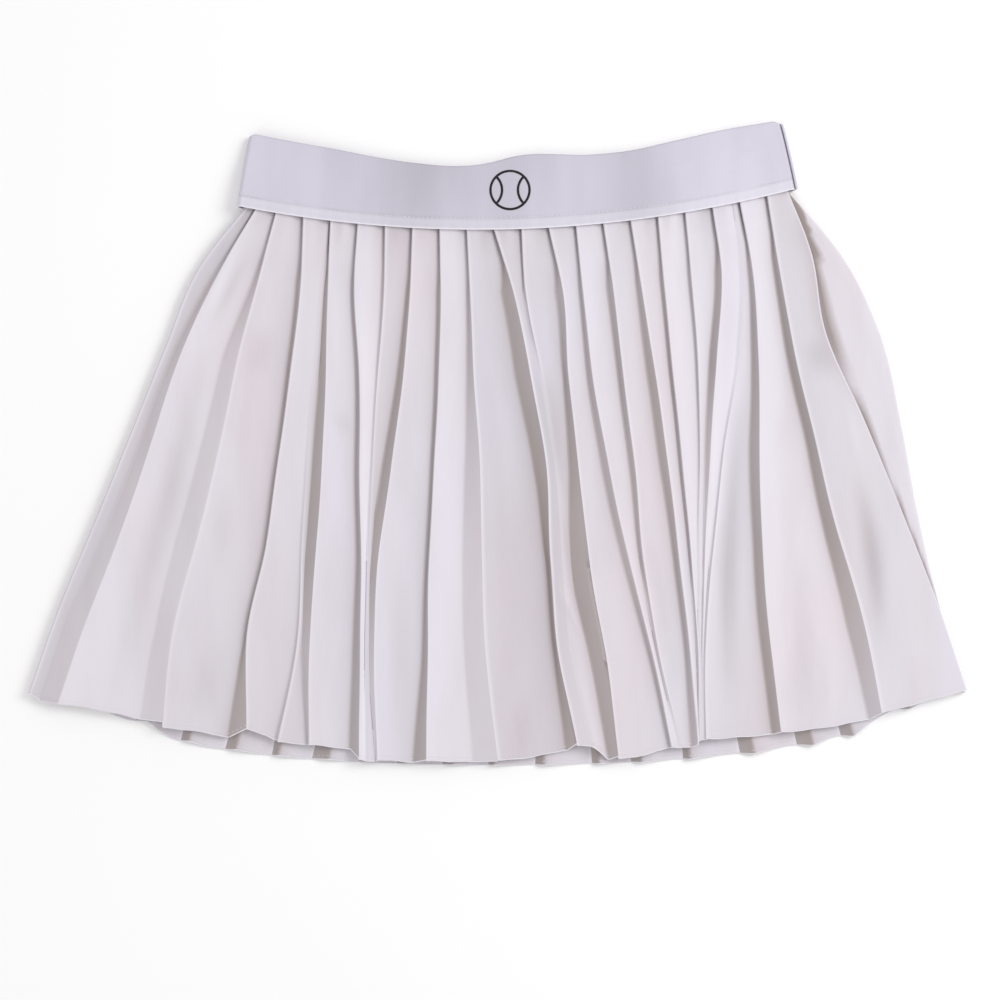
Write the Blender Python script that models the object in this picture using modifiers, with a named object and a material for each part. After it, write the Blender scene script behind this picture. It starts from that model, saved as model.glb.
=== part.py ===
"""Tennis skirt laid flat: a knife-pleated front and back panel under an elastic waistband.

Units are metres, +Z is up. The skirt lies face up on the XY plane: the waist points to +Y, the
wearer's right side is at -X. The origin is under the middle of the skirt's outline, on the table.

Every piece that a maker cuts is one object: the two panels, the two halves of the band and the
printed motif. A panel is an open pleated surface, worked out as sections from waist to hem, with
a Solidify wall. The back panel is made as the front is, then turned over.
"""
from collections import namedtuple
from math import asin, atan2, cos, hypot, pi, sin

import bpy
import numpy as np

MM = 0.001

# Cloth and elastic
CLOTH = 1.0 * MM             # wall of a pleated panel
ELASTIC = 1.6 * MM           # wall of the band
GAP = 0.3 * MM               # air between two pieces that touch
TURN = 0.7 * MM              # radius of a fold, measured at the middle of the cloth
SHUT_HEIGHT = 4 * TURN       # height of a shut fold, over the middle of the cloth it lies on
MERGE = 0.01 * MM            # points closer than this are one

# Waistband
BAND_LEFT = (-162.9 * MM, -156.0 * MM)     # left end of the band, at its lower and upper edge
BAND_RIGHT = (185.5 * MM, 176.7 * MM)      # right end, likewise
BAND_LAP = 9.0 * MM          # how far the band's lower part lies over the pleats
BAND_TOP_LIFT = 5.0 * MM     # middle of the front band above the table, at its upper edge
BAND_NOMINAL = 45.0 * MM     # width of the elastic
BAND_CORNER = 1.6 * MM       # how much of its width the band takes to turn at a side
BAND_COLUMNS = 22            # points along the band
BAND_ROWS = (0.0, 0.2, 0.6, 1.0)           # shares of the band's height
SIDE_STRIP = 2.4 * MM        # how far the back band stands out past the front band on the right

# Panels
PLEAT_PITCH = 17.15 * MM     # from fold to fold where the cloth is sewn to the band
FIRST_FOLD = -138.7 * MM     # first fold at full pitch, from the middle of the band
SIDE_FOLD = -151.5 * MM      # the fold before it, drawn in by the side seam
WAIST_LAP = 7.5 * MM         # cloth shut under each fold at the band
SIDE_LAP = 4.0 * MM          # the same at the side fold
LAP_END = 0.05               # share of the length at which the laps have run out
LAST_LAP = 0.6 * MM          # what is left of a lap there
TUCK = 8.0 * MM              # cloth hidden under the band
RELEASE = (0.05, 0.12)       # shares of the length between which the panels leave the band's level
FALL_WIDTH = 6.0 * MM        # a face narrower than this doesn't reach the floor of its panel
STEP = 1.0 * MM              # least height of a fold
SEAM_TUCK = 4.0 * MM         # back panel turned in under the front panel at each side
SHOULDER_SHARE = 0.45        # share of a face, at least, that stays high before it falls
TOE_SHARE = 0.25             # share of a face, at most, that lies low beside the next fold

# Section of a side edge, from its lowest point up, in walls of cloth: in from the outline, height.
# The front panel's side falls to the floor; the back panel's turns in under it at SIDE_BEND.
FALLEN_SIDE = ((0.5, -0.4), (0.5, 0.8), (1.5, 1.8))
FALLEN_FACE = 2.5            # where the first face starts
SIDE_BEND = 1.3
TURNED_FACE = (1.5, 2.0)     # where the first and the last face start, past the turned-in cloth
SHUT_FACE = 0.3              # how far past a shut fold the next face starts

# Shares of the panel's length at which the folds are placed, from the band to the hem
LEVELS = (0.0, 0.12, 0.28, 0.46, 0.64, 0.82, 1.0)
ROWS = (LEVELS[0], LAP_END, *LEVELS[1:])    # sections of the finished surface
FOLD_POINTS = 6              # points that a fold adds to a section

# One row for each fold of the front, left to right, in millimetres.
#   ridge: x of the fold's edge at the levels after the first
#   strip: width of shaded cloth seen beside the edge at the same levels
#   lift:  height of the edge over the floor of the panel
#   rise:  how far the hem sits above its plain curve
Fold = namedtuple("Fold", "ridge strip lift rise")
FRONT_FOLDS = (
    Fold((-173, -197, -216, -235, -257, -276), (1.5, 5.0, 7.0, 9.0, 11.0, 10.0), 3.2, -3.0),
    Fold((-151, -163, -175, -189, -204, -210), (2.5, 3.5, 1.6, 1.4, 1.4, 1.4), 3.0, 1.5),
    Fold((-123, -129, -138, -148, -158, -155), (2.0, 3.5, 2.0, 2.0, 2.5, 15.0), 3.4, 0.0),
    Fold((-106, -109, -111, -115, -118, -118), (2.0, 4.0, 6.0, 7.0, 6.0, 1.4), 3.8, 1.0),
    Fold((-89, -88, -87, -86, -88, -86), (1.4, 3.0, 3.0, 2.5, 2.0, 8.0), 3.4, 5.0),
    Fold((-71, -76, -82, -82, -84, -82), (1.4, 1.4, 1.4, 1.4, 1.4, 1.4), 3.0, 2.0),
    Fold((-55, -60, -67, -75, -78, -76), (1.8, 3.0, 5.5, 6.0, 4.5, 1.4), 3.8, -5.0),
    Fold((-35, -37, -39, -43, -44, -46), (1.8, 2.5, 1.5, 1.5, 3.5, 6.0), 3.2, -3.0),
    Fold((-17, -14, -11, -10, -6, 0), (1.4, 3.0, 9.0, 12.0, 13.0, 14.0), 2.6, -2.0),
    Fold((9, 18, 27, 33, 38, 48), (3.0, 8.0, 6.0, 2.0, 1.4, 6.0), 4.0, 5.0),
    Fold((16, 22, 31, 37, 42, 53), (1.4, 1.4, 1.4, 1.4, 1.4, 1.4), 3.4, 3.0),
    Fold((42, 45, 50, 58, 68, 74), (3.5, 4.5, 5.5, 9.0, 7.0, 6.0), 3.8, -4.0),
    Fold((54, 61, 70, 82, 97, 110), (1.4, 2.5, 3.5, 3.0, 2.0, 1.4), 3.2, 1.0),
    Fold((73, 79, 86, 92, 100, 113), (2.5, 3.5, 3.5, 2.0, 1.4, 1.4), 3.4, 1.0),
    Fold((91, 98, 107, 114, 121, 125), (2.5, 4.0, 3.5, 2.5, 4.0, 3.0), 3.2, 0.5),
    Fold((104, 109, 115, 121, 126, 128), (1.4, 1.4, 2.0, 1.4, 1.4, 1.4), 3.0, 2.0),
    Fold((122, 127, 129, 127, 129, 131), (1.4, 2.0, 1.4, 1.4, 1.4, 1.4), 3.0, 3.0),
    Fold((141, 139, 137, 134, 132, 134), (3.5, 4.0, 3.0, 1.4, 1.4, 1.4), 3.6, 3.0),
    Fold((161, 164, 165, 167, 171, 178), (2.5, 4.0, 5.0, 4.5, 5.5, 5.0), 3.8, 1.0),
    Fold((177, 186, 199, 214, 232, 243), (4.0, 4.5, 5.0, 7.0, 10.0, 9.0), 3.8, -0.5),
)

# One row for each fold of the back, left to right as seen from behind, in millimetres.
#   hem:   x of the fold's edge at the hem
#   bow:   how far its middle stands to the right of the straight line from band to hem
#   strip: width of shaded cloth beside the edge at the hem
BackFold = namedtuple("BackFold", "hem bow strip")
BACK_FOLDS = (
    BackFold(-254, 6, 5), BackFold(-226, 4, 7), BackFold(-193, 0, 9), BackFold(-158, 3, 6),
    BackFold(-119, -2, 4), BackFold(-84, 0, 6), BackFold(-55, 4, 4), BackFold(-24, -3, 5),
    BackFold(6, 2, 3), BackFold(35, -3, 6), BackFold(64, 0, 5), BackFold(92, 3, 4),
    BackFold(117, -4, 9), BackFold(143, 2, 4), BackFold(168, -3, 6), BackFold(198, 3, 5),
    BackFold(229, 0, 7), BackFold(259, -4, 5),
)
BACK_FIRST_FOLD = -151.0 * MM
BACK_LIFT = 3.0 * MM
BACK_STRIP_TOP = 1.4         # width of every back fold's strip at its upper end, in millimetres

# Side outlines in millimetres at LEVELS: the front panel's two edges, and the back panel's
# edge on the right, where it swells out past the front
SIDE_LEFT = (-158.5, -187.5, -208.4, -230.5, -252.9, -275.8, -295.3)
SIDE_RIGHT = (182.6, 199.6, 213.6, 234.3, 256.4, 277.0, 295.3)
SWELL_RIGHT = (182.8, 215.5, 240.9, 254.3, 264.8, 278.0, 295.3)

# Height of the band along its length in millimetres: x, height
BAND_HEIGHTS = (
    (-160, 48.0), (-104, 46.0), (-52, 41.5), (-23, 40.5), (-5, 42.5), (12, 46.5),
    (60, 44.5), (85, 44.5), (116, 47.0), (144, 48.0), (176, 46.3),
)

# Motif printed on the band: a plain ball with two curved seams
MOTIF_CENTRE = (7.9 * MM, 158.5 * MM)
MOTIF_RADIUS = 13.0 * MM
MOTIF_LINE = 1.5 * MM
MOTIF_SEAM_RADIUS = 12.0 * MM
MOTIF_SEAM_OFFSET = 17.0 * MM      # from the ball's middle to the middle of each seam's arc
MOTIF_SEAM_ANGLE = 0.77            # half of the angle that a seam's arc covers
MOTIF_WALL = 0.4 * MM
MOTIF_GAP = 0.6 * MM               # from the band to the middle of the print
MOTIF_STEPS = 12

COLLECTION_NAME = "tennis_skirt"

# Curves of the band's lower edge and of the hems: y = height + slope x + bowl x^2 + flare x^4
LIP_HEIGHT, LIP_SLOPE, LIP_BOWL = 133.5 * MM, 0.015, 0.65
HEM_HEIGHT, HEM_BOWL = -198.5 * MM, 0.5
BACK_HEM_HEIGHT, BACK_HEM_BOWL, BACK_HEM_FLARE = -203.4 * MM, 0.23, 3.4

# Levels of the stack over the table, at the middle of each wall
BACK_BAND_LEVEL = ELASTIC / 2
BACK_TOP_AT_BAND = ELASTIC + GAP + CLOTH + SHUT_HEIGHT
BACK_TOP = CLOTH + BACK_LIFT
FRONT_FLOOR_AT_BAND = BACK_TOP_AT_BAND + GAP + CLOTH / 2
FRONT_FLOOR = BACK_TOP + GAP + CLOTH / 2
FRONT_BAND_LEVEL = FRONT_FLOOR_AT_BAND + SHUT_HEIGHT + CLOTH / 2 + GAP + ELASTIC / 2


def lip_line(x):
    """Y of the band's lower edge: a shallow bowl, a little higher on the right."""
    return LIP_HEIGHT + LIP_SLOPE * x + LIP_BOWL * x ** 2


def front_hem(x):
    """Y of the front hem without its scallops, a shallow bowl."""
    return HEM_HEIGHT + HEM_BOWL * x ** 2


def back_hem(x):
    """Y of the back hem: flatter in the middle, so that it shows below the front at each side."""
    return BACK_HEM_HEIGHT + BACK_HEM_BOWL * x ** 2 + BACK_HEM_FLARE * x ** 4


def release(share):
    """How far the cloth has left the level at which the band holds it, from 0 to 1."""
    return np.clip((share - RELEASE[0]) / (RELEASE[1] - RELEASE[0]), 0.0, 1.0)


def at_levels(values, share):
    """Read a row of values given at LEVELS, in millimetres, at one share of the length."""
    return float(np.interp(share, LEVELS, values)) * MM


def strip_at(lap, strip, share):
    """Width of a fold's strip at one share of the length; below 0 the fold is shut.

    The lap that the band holds runs out at LAP_END, and from the next level the strip opens.
    """
    stations = (0.0, LAP_END) + LEVELS[1:]
    widths = (-lap / MM, -LAST_LAP / MM) + tuple(strip)
    return float(np.interp(share, stations, widths)) * MM


def clear_scene():
    """Remove every object, so that the script always starts from nothing."""
    for item in list(bpy.data.objects):
        bpy.data.objects.remove(item, do_unlink=True)


def new_collection(name):
    """Make the collection that holds the skirt's pieces."""
    collection = bpy.data.collections.new(name)
    bpy.context.scene.collection.children.link(collection)
    return collection


def new_material(name, colour, roughness):
    """A cloth-like Principled material of one colour."""
    material = bpy.data.materials.new(name)
    material.use_nodes = True
    shader = material.node_tree.nodes["Principled BSDF"]
    shader.inputs["Base Color"].default_value = (*colour, 1.0)
    shader.inputs["Roughness"].default_value = roughness
    shader.inputs["Metallic"].default_value = 0.0
    return material


def fold_turn(strip, height):
    """Angle through which the cloth turns at a fold's foot, and back again at its edge.

    The foot is `strip` to the left of the edge and `height` below it.
    """
    rise = height - 2 * TURN
    return atan2(rise, strip) + asin(min(1.0, 2 * TURN / hypot(strip, rise)))


def fold_points(ridge, strip, foot, toe, low, top):
    """The toe of the face before a fold, the fold's foot, the run under its edge, and the edge."""
    angle = fold_turn(strip, top - low)
    run, climb = TURN * sin(angle), TURN * (1 - cos(angle))
    return [(toe, low), (foot, low), (foot + run, low + climb), (ridge - run, top - climb),
            (ridge, top)]


def fallen_side(outline, inward, floor):
    """A side that falls to the floor, edge first. `inward` is 1 on the left, -1 on the right."""
    return [(outline + inward * reach * CLOTH, floor + height * CLOTH)
            for reach, height in FALLEN_SIDE]


def turned_side(outline, inward, floor, top, depth):
    """A side that turns in under the panel for `depth`, its hidden edge first."""
    bend = outline + inward * SIDE_BEND * CLOTH
    return [(outline + inward * depth, floor), (bend, floor),
            (outline + inward * CLOTH / 2, (floor + top) / 2), (bend, top)]


def section(ridges, strips, lifts, left, right, floor, turned_in):
    """One section of a pleated panel, as (x, z) of the middle of the cloth, left to right.

    Each fold gives six points: the shoulder of the face before it and its fold_points. Where a
    face is narrow, its toe stays high, so that folds which meet lie on each other. `turned_in`
    is how far the cloth turns in below the panel at each side, or None where it only falls.
    """
    if turned_in is None:
        points = fallen_side(left, 1, floor)
        shoulder, height = left + FALLEN_FACE * CLOTH, points[-1][1]
    else:
        height = floor + lifts[0]
        points = turned_side(left, 1, floor, height, turned_in[0])
        shoulder = left + turned_in[0] + TURNED_FACE[0] * CLOTH
    edge = points[-1][0]
    for ridge, strip, lift in zip(ridges, strips, lifts):
        foot = ridge - strip
        toe = min(ridge - TURN - CLOTH / 2, foot - min(CLOTH, TOE_SHARE * (foot - edge)))
        width = toe - edge
        shoulder = max(shoulder, edge + SHOULDER_SHARE * width)
        low = floor
        if strip > 0.0:
            low += (height - floor) * (1 - min(1.0, width / FALL_WIDTH))
        top = max(floor + lift, low + STEP)
        points.append((shoulder, height))
        points += fold_points(ridge, strip, foot, toe, low, top)
        edge, height = ridge, top
        shoulder = ridge
        if strip < 0.0:
            shoulder += TURN + SHUT_FACE * CLOTH - strip
    if turned_in is None:
        points.append((shoulder, height))
        points += reversed(fallen_side(right, -1, floor))
    else:
        points.append((max(shoulder, right - turned_in[1] - TURNED_FACE[1] * CLOTH), height))
        points += reversed(turned_side(right, -1, floor, height, turned_in[1]))
    return points


def front_sections():
    """Sections of the front panel, one for each row, and the rise of the hem at each column."""
    sections = []
    for share in ROWS:
        ridges = []
        strips = []
        for index, fold in enumerate(FRONT_FOLDS):
            waist = FIRST_FOLD + (index - 1) * PLEAT_PITCH if index else SIDE_FOLD
            lap = WAIST_LAP if index else SIDE_LAP
            ridges.append(at_levels((waist / MM, *fold.ridge), share))
            strips.append(strip_at(lap, fold.strip, share))
        ease = release(share)
        lifts = [SHUT_HEIGHT + (fold.lift * MM - SHUT_HEIGHT) * ease for fold in FRONT_FOLDS]
        floor = FRONT_FLOOR_AT_BAND + (FRONT_FLOOR - FRONT_FLOOR_AT_BAND) * ease
        left, right = at_levels(SIDE_LEFT, share), at_levels(SIDE_RIGHT, share)
        sections.append(section(ridges, strips, lifts, left, right, floor, None))
        if share == 0.0:
            sections.append(sections[0])
    rise = [FRONT_FOLDS[0].rise] * len(FALLEN_SIDE)
    for fold in FRONT_FOLDS:
        rise += [fold.rise] * FOLD_POINTS
    rise += [0.0] * (1 + len(FALLEN_SIDE))
    return np.array(sections), np.array(rise) * MM


def back_sections():
    """Sections of the back panel in its own view, outside up and seen from behind."""
    sections = []
    for share in ROWS:
        ridges, strips = [], []
        for index, fold in enumerate(BACK_FOLDS):
            waist = BACK_FIRST_FOLD + index * PLEAT_PITCH
            straight = waist + (fold.hem * MM - waist) * share
            ridges.append(straight + fold.bow * MM * sin(pi * share))
            opened = np.interp(LEVELS[1:], (0.0, 1.0), (BACK_STRIP_TOP, fold.strip))
            strips.append(strip_at(WAIST_LAP, opened, share))
        lifts = [SHUT_HEIGHT + (BACK_LIFT - SHUT_HEIGHT) * release(share)] * len(BACK_FOLDS)
        swell = at_levels(SWELL_RIGHT, share)
        left, right = -swell, -at_levels(SIDE_LEFT, share)
        turned_in = (swell - at_levels(SIDE_RIGHT, share) + SEAM_TUCK, SEAM_TUCK)
        sections.append(section(ridges, strips, lifts, left, right, 0.0, turned_in))
        if share == 0.0:
            sections.append(sections[0])
    return np.array(sections)


def panel_surface(x, z, hem, rise):
    """Lay sections out between the lip line and the hem, as a grid of points.

    A column keeps its share of the way from the lip line to the hem. The first row is the
    cloth under the band.
    """
    shares = np.array((0.0,) + ROWS)[:, None]
    y = (1 - shares) * lip_line(x[1]) + shares * (hem(x[-1]) + rise)
    y[0] = lip_line(x[0]) + TUCK
    return np.stack((x, y, z), axis=-1)


def grid_object(name, grid, wall, material, collection):
    """Make a grid of points an open surface and give it a wall of even thickness."""
    rows, columns = grid.shape[:2]
    index = np.arange(rows * columns).reshape(rows, columns)
    quads = np.stack((index[:-1, :-1], index[1:, :-1], index[1:, 1:], index[:-1, 1:]), axis=-1)
    mesh = bpy.data.meshes.new(name)
    mesh.from_pydata(grid.reshape(-1, 3).tolist(), [], quads.reshape(-1, 4).tolist())
    mesh.materials.append(material)
    item = bpy.data.objects.new(name, mesh)
    collection.objects.link(item)
    solidify = item.modifiers.new("Wall", "SOLIDIFY")
    solidify.thickness = wall
    solidify.offset = 0.0
    return item


def front_panel(material, collection):
    """Knife-pleated front: each fold's edge lies on the face to its left."""
    sections, rise = front_sections()
    grid = panel_surface(sections[..., 0], sections[..., 1], front_hem, rise)
    return grid_object("front_panel", grid, CLOTH, material, collection)


def back_panel(material, collection):
    """Knife-pleated back, turned over so that its folds face the table."""
    sections = back_sections()
    shares = np.array((0.0,) + ROWS)[:, None]
    ease = release(shares)
    lifts = SHUT_HEIGHT + (BACK_LIFT - SHUT_HEIGHT) * ease
    underside = (ELASTIC + GAP) * (1 - ease)
    x = -sections[..., 0]
    z = underside + CLOTH / 2 + lifts - sections[..., 1]
    grid = panel_surface(x, z, back_hem, 0.0)
    return grid_object("back_panel", grid, CLOTH, material, collection)


def band_height(x):
    """Height of the band at x."""
    along, heights = zip(*BAND_HEIGHTS)
    return np.interp(x / MM, along, heights) * MM


def band_level(share):
    """Height of the front band's middle: level over the pleats, then down to its upper edge."""
    lap = BAND_LAP / BAND_NOMINAL
    fall = np.clip((share - lap) / (1 - lap), 0.0, 1.0)
    return FRONT_BAND_LEVEL + (BAND_TOP_LIFT - FRONT_BAND_LEVEL) * fall


def band_grid(levels, left_ends, right_ends, reach):
    """Points of one half of the band, upper edge first, each row running from end to end.

    `levels` is the height of the elastic at the rows. Its ends turn up or down, over a corner of
    `BAND_CORNER`, to the heights in `left_ends` and `right_ends`. `reach` moves the right end out.
    """
    rows = []
    for share, level, left_end, right_end in zip(BAND_ROWS, levels, left_ends, right_ends):
        left = BAND_LEFT[0] + (BAND_LEFT[1] - BAND_LEFT[0]) * share
        right = BAND_RIGHT[0] + (BAND_RIGHT[1] - BAND_RIGHT[0]) * share + reach
        flat = np.linspace(left + BAND_CORNER, right - BAND_CORNER, BAND_COLUMNS)
        x = np.concatenate(([left, left], flat, [right, right]))
        z = np.full(len(x), level)
        z[:2] = left_end, level + BAND_CORNER * np.sign(left_end - level)
        z[-2:] = level + BAND_CORNER * np.sign(right_end - level), right_end
        y = lip_line(x) + share * band_height(x)
        rows.append(np.stack((x, y, z), axis=-1))
    return np.array(rows)[::-1]


def waistband_front(material, collection):
    """Front half of the elastic band, lapped over the pleats, its ends turned down."""
    levels = [band_level(share) for share in BAND_ROWS]
    seam = [(level + BACK_BAND_LEVEL) / 2 + GAP / 2 for level in levels]
    grid = band_grid(levels, seam, seam, 0.0)
    return grid_object("waistband_front", grid, ELASTIC, material, collection)


def waistband_back(material, collection):
    """Back half of the band, flat on the table, its ends turned up beside the front half."""
    levels = [band_level(share) for share in BAND_ROWS]
    seam = [(level + BACK_BAND_LEVEL) / 2 - GAP / 2 for level in levels]
    flat = [BACK_BAND_LEVEL] * len(levels)
    grid = band_grid(flat, seam, levels, SIDE_STRIP)
    return grid_object("waistband_back", grid, ELASTIC, material, collection)


def on_band(x, y):
    """Points (x, y) laid on the front band with a gap under them."""
    level = band_level((y - lip_line(x)) / band_height(x))
    return np.stack((x, y, level + ELASTIC / 2 + MOTIF_GAP), axis=-1)


def arc_strip(centre, radius, start, end, steps):
    """A flat strip along an arc on the band: two rows of points either side of the radius."""
    angle = np.linspace(start, end, steps + 1)
    rows = []
    for side in (radius - MOTIF_LINE / 2, radius + MOTIF_LINE / 2):
        rows.append(on_band(centre[0] + side * np.cos(angle), centre[1] + side * np.sin(angle)))
    return np.array(rows)


def band_motif(material, collection, cutters):
    """Ball printed on the band: a ring with two curved seams joined to it."""
    ring_radius = MOTIF_RADIUS - MOTIF_LINE / 2
    ring = arc_strip(MOTIF_CENTRE, ring_radius, 0.0, 2 * pi, MOTIF_STEPS * 3)
    item = grid_object("band_motif", ring, MOTIF_WALL, material, collection)
    weld = item.modifiers.new("Close", "WELD")
    weld.merge_threshold = MERGE
    item.modifiers.move(1, 0)
    for side in (-1, 1):
        centre = (MOTIF_CENTRE[0] + side * MOTIF_SEAM_OFFSET, MOTIF_CENTRE[1])
        middle = 0.0 if side < 0 else pi
        reach = MOTIF_SEAM_ANGLE
        strip = arc_strip(centre, MOTIF_SEAM_RADIUS, middle - reach, middle + reach, MOTIF_STEPS)
        seam = grid_object(f"motif_seam_{side}", strip, MOTIF_WALL, material, cutters)
        seam.hide_render = True
        seam.display_type = "WIRE"
        union = item.modifiers.new(f"Seam {side}", "BOOLEAN")
        union.operation = "UNION"
        union.object = seam
    return item


def build():
    """Make every piece of the skirt."""
    clear_scene()
    collection = new_collection(COLLECTION_NAME)
    elastic = new_material("elastic", (0.66, 0.64, 0.74), 0.75)
    cloth = new_material("pleated_cloth", (0.80, 0.77, 0.80), 0.8)
    print_black = new_material("print", (0.01, 0.01, 0.012), 0.6)
    front_panel(cloth, collection)
    back_panel(cloth, collection)
    waistband_front(elastic, collection)
    waistband_back(elastic, collection)
    band_motif(print_black, collection, new_collection("cutters"))


build()
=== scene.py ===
"""Pleated tennis skirt laid flat: the fine cloth, elastic, print, stitches, light and camera.

Units are metres, +Z is up and the waist points to +Y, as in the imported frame. Every cloth piece is
a grid surface. Its rows run from the band to the hem and are called shares of the length, 0 to 1.
Its columns run across the pleats, from the left side to the right side.
"""
from collections import namedtuple

import bpy
import numpy as np
from bpy.props import FloatProperty, FloatVectorProperty, IntProperty, PointerProperty
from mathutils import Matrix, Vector


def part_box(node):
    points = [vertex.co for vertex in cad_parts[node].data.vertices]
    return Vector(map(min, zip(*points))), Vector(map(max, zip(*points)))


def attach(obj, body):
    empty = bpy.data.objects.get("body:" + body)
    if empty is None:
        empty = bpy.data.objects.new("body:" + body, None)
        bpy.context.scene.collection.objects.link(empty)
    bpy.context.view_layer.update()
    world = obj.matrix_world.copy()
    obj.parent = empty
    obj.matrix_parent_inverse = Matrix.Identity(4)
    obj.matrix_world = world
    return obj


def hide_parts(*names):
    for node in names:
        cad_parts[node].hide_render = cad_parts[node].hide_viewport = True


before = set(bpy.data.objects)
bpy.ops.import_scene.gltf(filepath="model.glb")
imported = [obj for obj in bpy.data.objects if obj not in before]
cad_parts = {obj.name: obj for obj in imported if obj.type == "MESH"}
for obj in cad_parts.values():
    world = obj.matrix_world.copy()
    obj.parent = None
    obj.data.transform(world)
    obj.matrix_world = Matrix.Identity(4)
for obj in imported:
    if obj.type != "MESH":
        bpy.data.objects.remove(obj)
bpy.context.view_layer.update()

bl_info = {
    "name": "Pleated Tennis Skirt",
    "version": (1, 0, 0),
    "blender": (4, 5, 0),
    "location": "View3D > Sidebar > Skirt",
    "description": "Makes a knife-pleated tennis skirt, laid flat, around its packed frame",
    "category": "Add Mesh",
}

MM = 0.001

# Levels of the stack over the table, at the middle of each wall
FRONT_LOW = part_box("front_panel")[0].z
BACK_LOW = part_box("back_panel")[0].z
BAND_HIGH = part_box("waistband_front")[1].z
ELASTIC = 1.6 * MM           # wall of the band
WALL = 1.0 * MM              # room that one layer of cloth takes in the stack
GAP = 0.3 * MM               # air between two pieces that touch
SHUT_HEIGHT = 2.8 * MM       # height of a shut fold
BACK_LIFT = 3.0 * MM         # height of an open fold of the back
FRONT_FLOOR = FRONT_LOW + WALL / 2
FRONT_FLOOR_AT_BAND = BAND_HIGH - ELASTIC - GAP - WALL / 2 - SHUT_HEIGHT
BACK_FLOOR = BACK_LOW + WALL / 2
BACK_FLOOR_AT_BAND = ELASTIC + GAP + WALL / 2
FRONT_BAND_LEVEL = BAND_HIGH - ELASTIC / 2
BACK_BAND_LEVEL = ELASTIC / 2

# Waistband
BAND_LEFT = (-162.9 * MM, -156.0 * MM)     # left end, at its lower and upper edge
BAND_RIGHT = (185.5 * MM, 176.7 * MM)
BAND_LAP = 9.0 * MM          # how far the band's lower part lies over the pleats
BAND_TOP_LEVEL = 5.0 * MM    # middle of the front band at its upper edge
BAND_WALL = ELASTIC * 0.85   # the elastic itself, with room for its relief
BAND_GRID = (300, 52)        # columns and rows of the front half
BACK_BAND_GRID = (200, 24)
BAND_CORNER = 1.6 * MM       # radius of the turn at each side
BAND_TOP_CORNER = 5.0 * MM   # how much the upper corners are rounded
SIDE_STRIP = 2.4 * MM        # how far the back band stands out past the front band on the right
FRONT_REACH = 0.8 * MM       # how far the front band's right end swells towards that edge
TOPSTITCH = 7.0 * MM         # from the band's lower edge to its line of stitches
BAND_HEIGHT = 45 * MM        # roughly, where a share of the height has to be worked out
GROOVE_DEPTH, GROOVE_WIDTH = 0.42 * MM, 0.8 * MM             # along the line of stitches
WELT_HEIGHT, WELT_MIDDLE, WELT_WIDTH = 0.18 * MM, 3.4 * MM, 2.2 * MM     # seam below it
PUCKER_HEIGHT, PUCKER_FADE = 0.10 * MM, 6 * MM
RIB_HEIGHT, RIB_PITCH = 0.05 * MM, 2.9 * MM
WAVE_HEIGHT, WAVE_START = 0.35 * MM, (8 * MM, 30 * MM)       # slow waves of the upper part
# Height of the band along its length in millimetres: x, height
BAND_HEIGHTS = (
    (-160, 48.0), (-104, 46.0), (-52, 41.5), (-23, 40.5), (-5, 42.5), (12, 46.5),
    (60, 44.5), (85, 44.5), (116, 47.0), (144, 48.0), (176, 46.3),
)

# Curves of the band's lower edge and of the back hem: y = height + slope x + bowl x^2 + flare x^4
LIP_HEIGHT, LIP_SLOPE, LIP_BOWL = 133.5 * MM, 0.015, 0.65
BACK_HEM_HEIGHT, BACK_HEM_BOWL, BACK_HEM_FLARE = -203.4 * MM, 0.23, 3.4
HEM_TUCK = 6.5 * MM          # how much higher the back hem lies just inside the side corners
HEM_TUCK_LEFT = (195 * MM, 222 * MM)     # distances from the middle over which it rises
HEM_TUCK_RIGHT = (238 * MM, 250 * MM)
HEM_TUCK_END = (262 * MM, 295 * MM)      # and over which it comes down to the corner

# Pleats
LAP = 7.5 * MM               # cloth shut under each fold at the band
SIDE_LAP = 4.0 * MM          # the same under the front's first fold
LAP_END = 0.05               # share of the length at which the laps have run out
LAP_END_STRIP = (-0.6, 0.2)  # width there in millimetres: of a shut fold, of one not formed yet
RELEASE = (0.05, 0.12)       # shares between which the panels leave the band's level
TUCK = 8.0 * MM              # cloth hidden under the band
TOE_ROOM = 1.2 * MM          # least room between the end of a face and the next edge
FALL_WIDTH = 6.0 * MM        # a narrower face doesn't reach the floor of its panel
STEP = 1.0 * MM              # least height of a formed fold
FALL_POWER = 1.8             # a face stays high and then falls as 1 - t^power
FACE_SLOPE = 0.5             # painted light: how much lighter a face is beside its edge than at its toe
FACE_POWER = 0.7             # creases and drift fade to the ends of a face as sin^power
FACE_HOLD = 0.62             # most of a face that a shut lap over it keeps level
FOOT_LINE = (0.4, 0.5)       # painted shade line at a fold's foot: how dark, width in millimetres
FOOT_FADE = (0.34, 4.5)      # and the softer painted shade beside it
EDGE_LIGHT = 0.9             # width of the painted highlight along an edge in millimetres
EDGE_START = 0.7             # share of a fold's points at which its edge begins
LEAST_RISE = 0.02 * MM       # height of a fold that hasn't formed
FACE_POINTS = 12             # columns of a face, of each arc of a fold, and of its straight part
ARC_POINTS = 4
STRIP_POINTS = 4
LAST_FACE_POINTS = 20        # columns of the front's last face, which is the widest
EXTRA_ROWS = (0.986, 0.9895, 0.992, 0.9935, 0.995, 0.9975)   # shares of rows beside the hem
SEAM_TUCK = 4.0 * MM         # back panel turned in under the front panel at each side
SIDE_RIM = 0.9 * MM          # radius of the turn at the front panel's sides
SIDE_SINK = 0.4 * MM         # how far that turn reaches below the panel's floor
SWAY = (0.35 * MM, 0.4 * MM)     # uneven run of the edges, front and back
SWAY_START = (0.05, 0.3)         # shares between which it sets in
DRIFT = (0.22 * MM, 0.2 * MM)    # height of the cloth's slow unevenness, front and back
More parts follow.
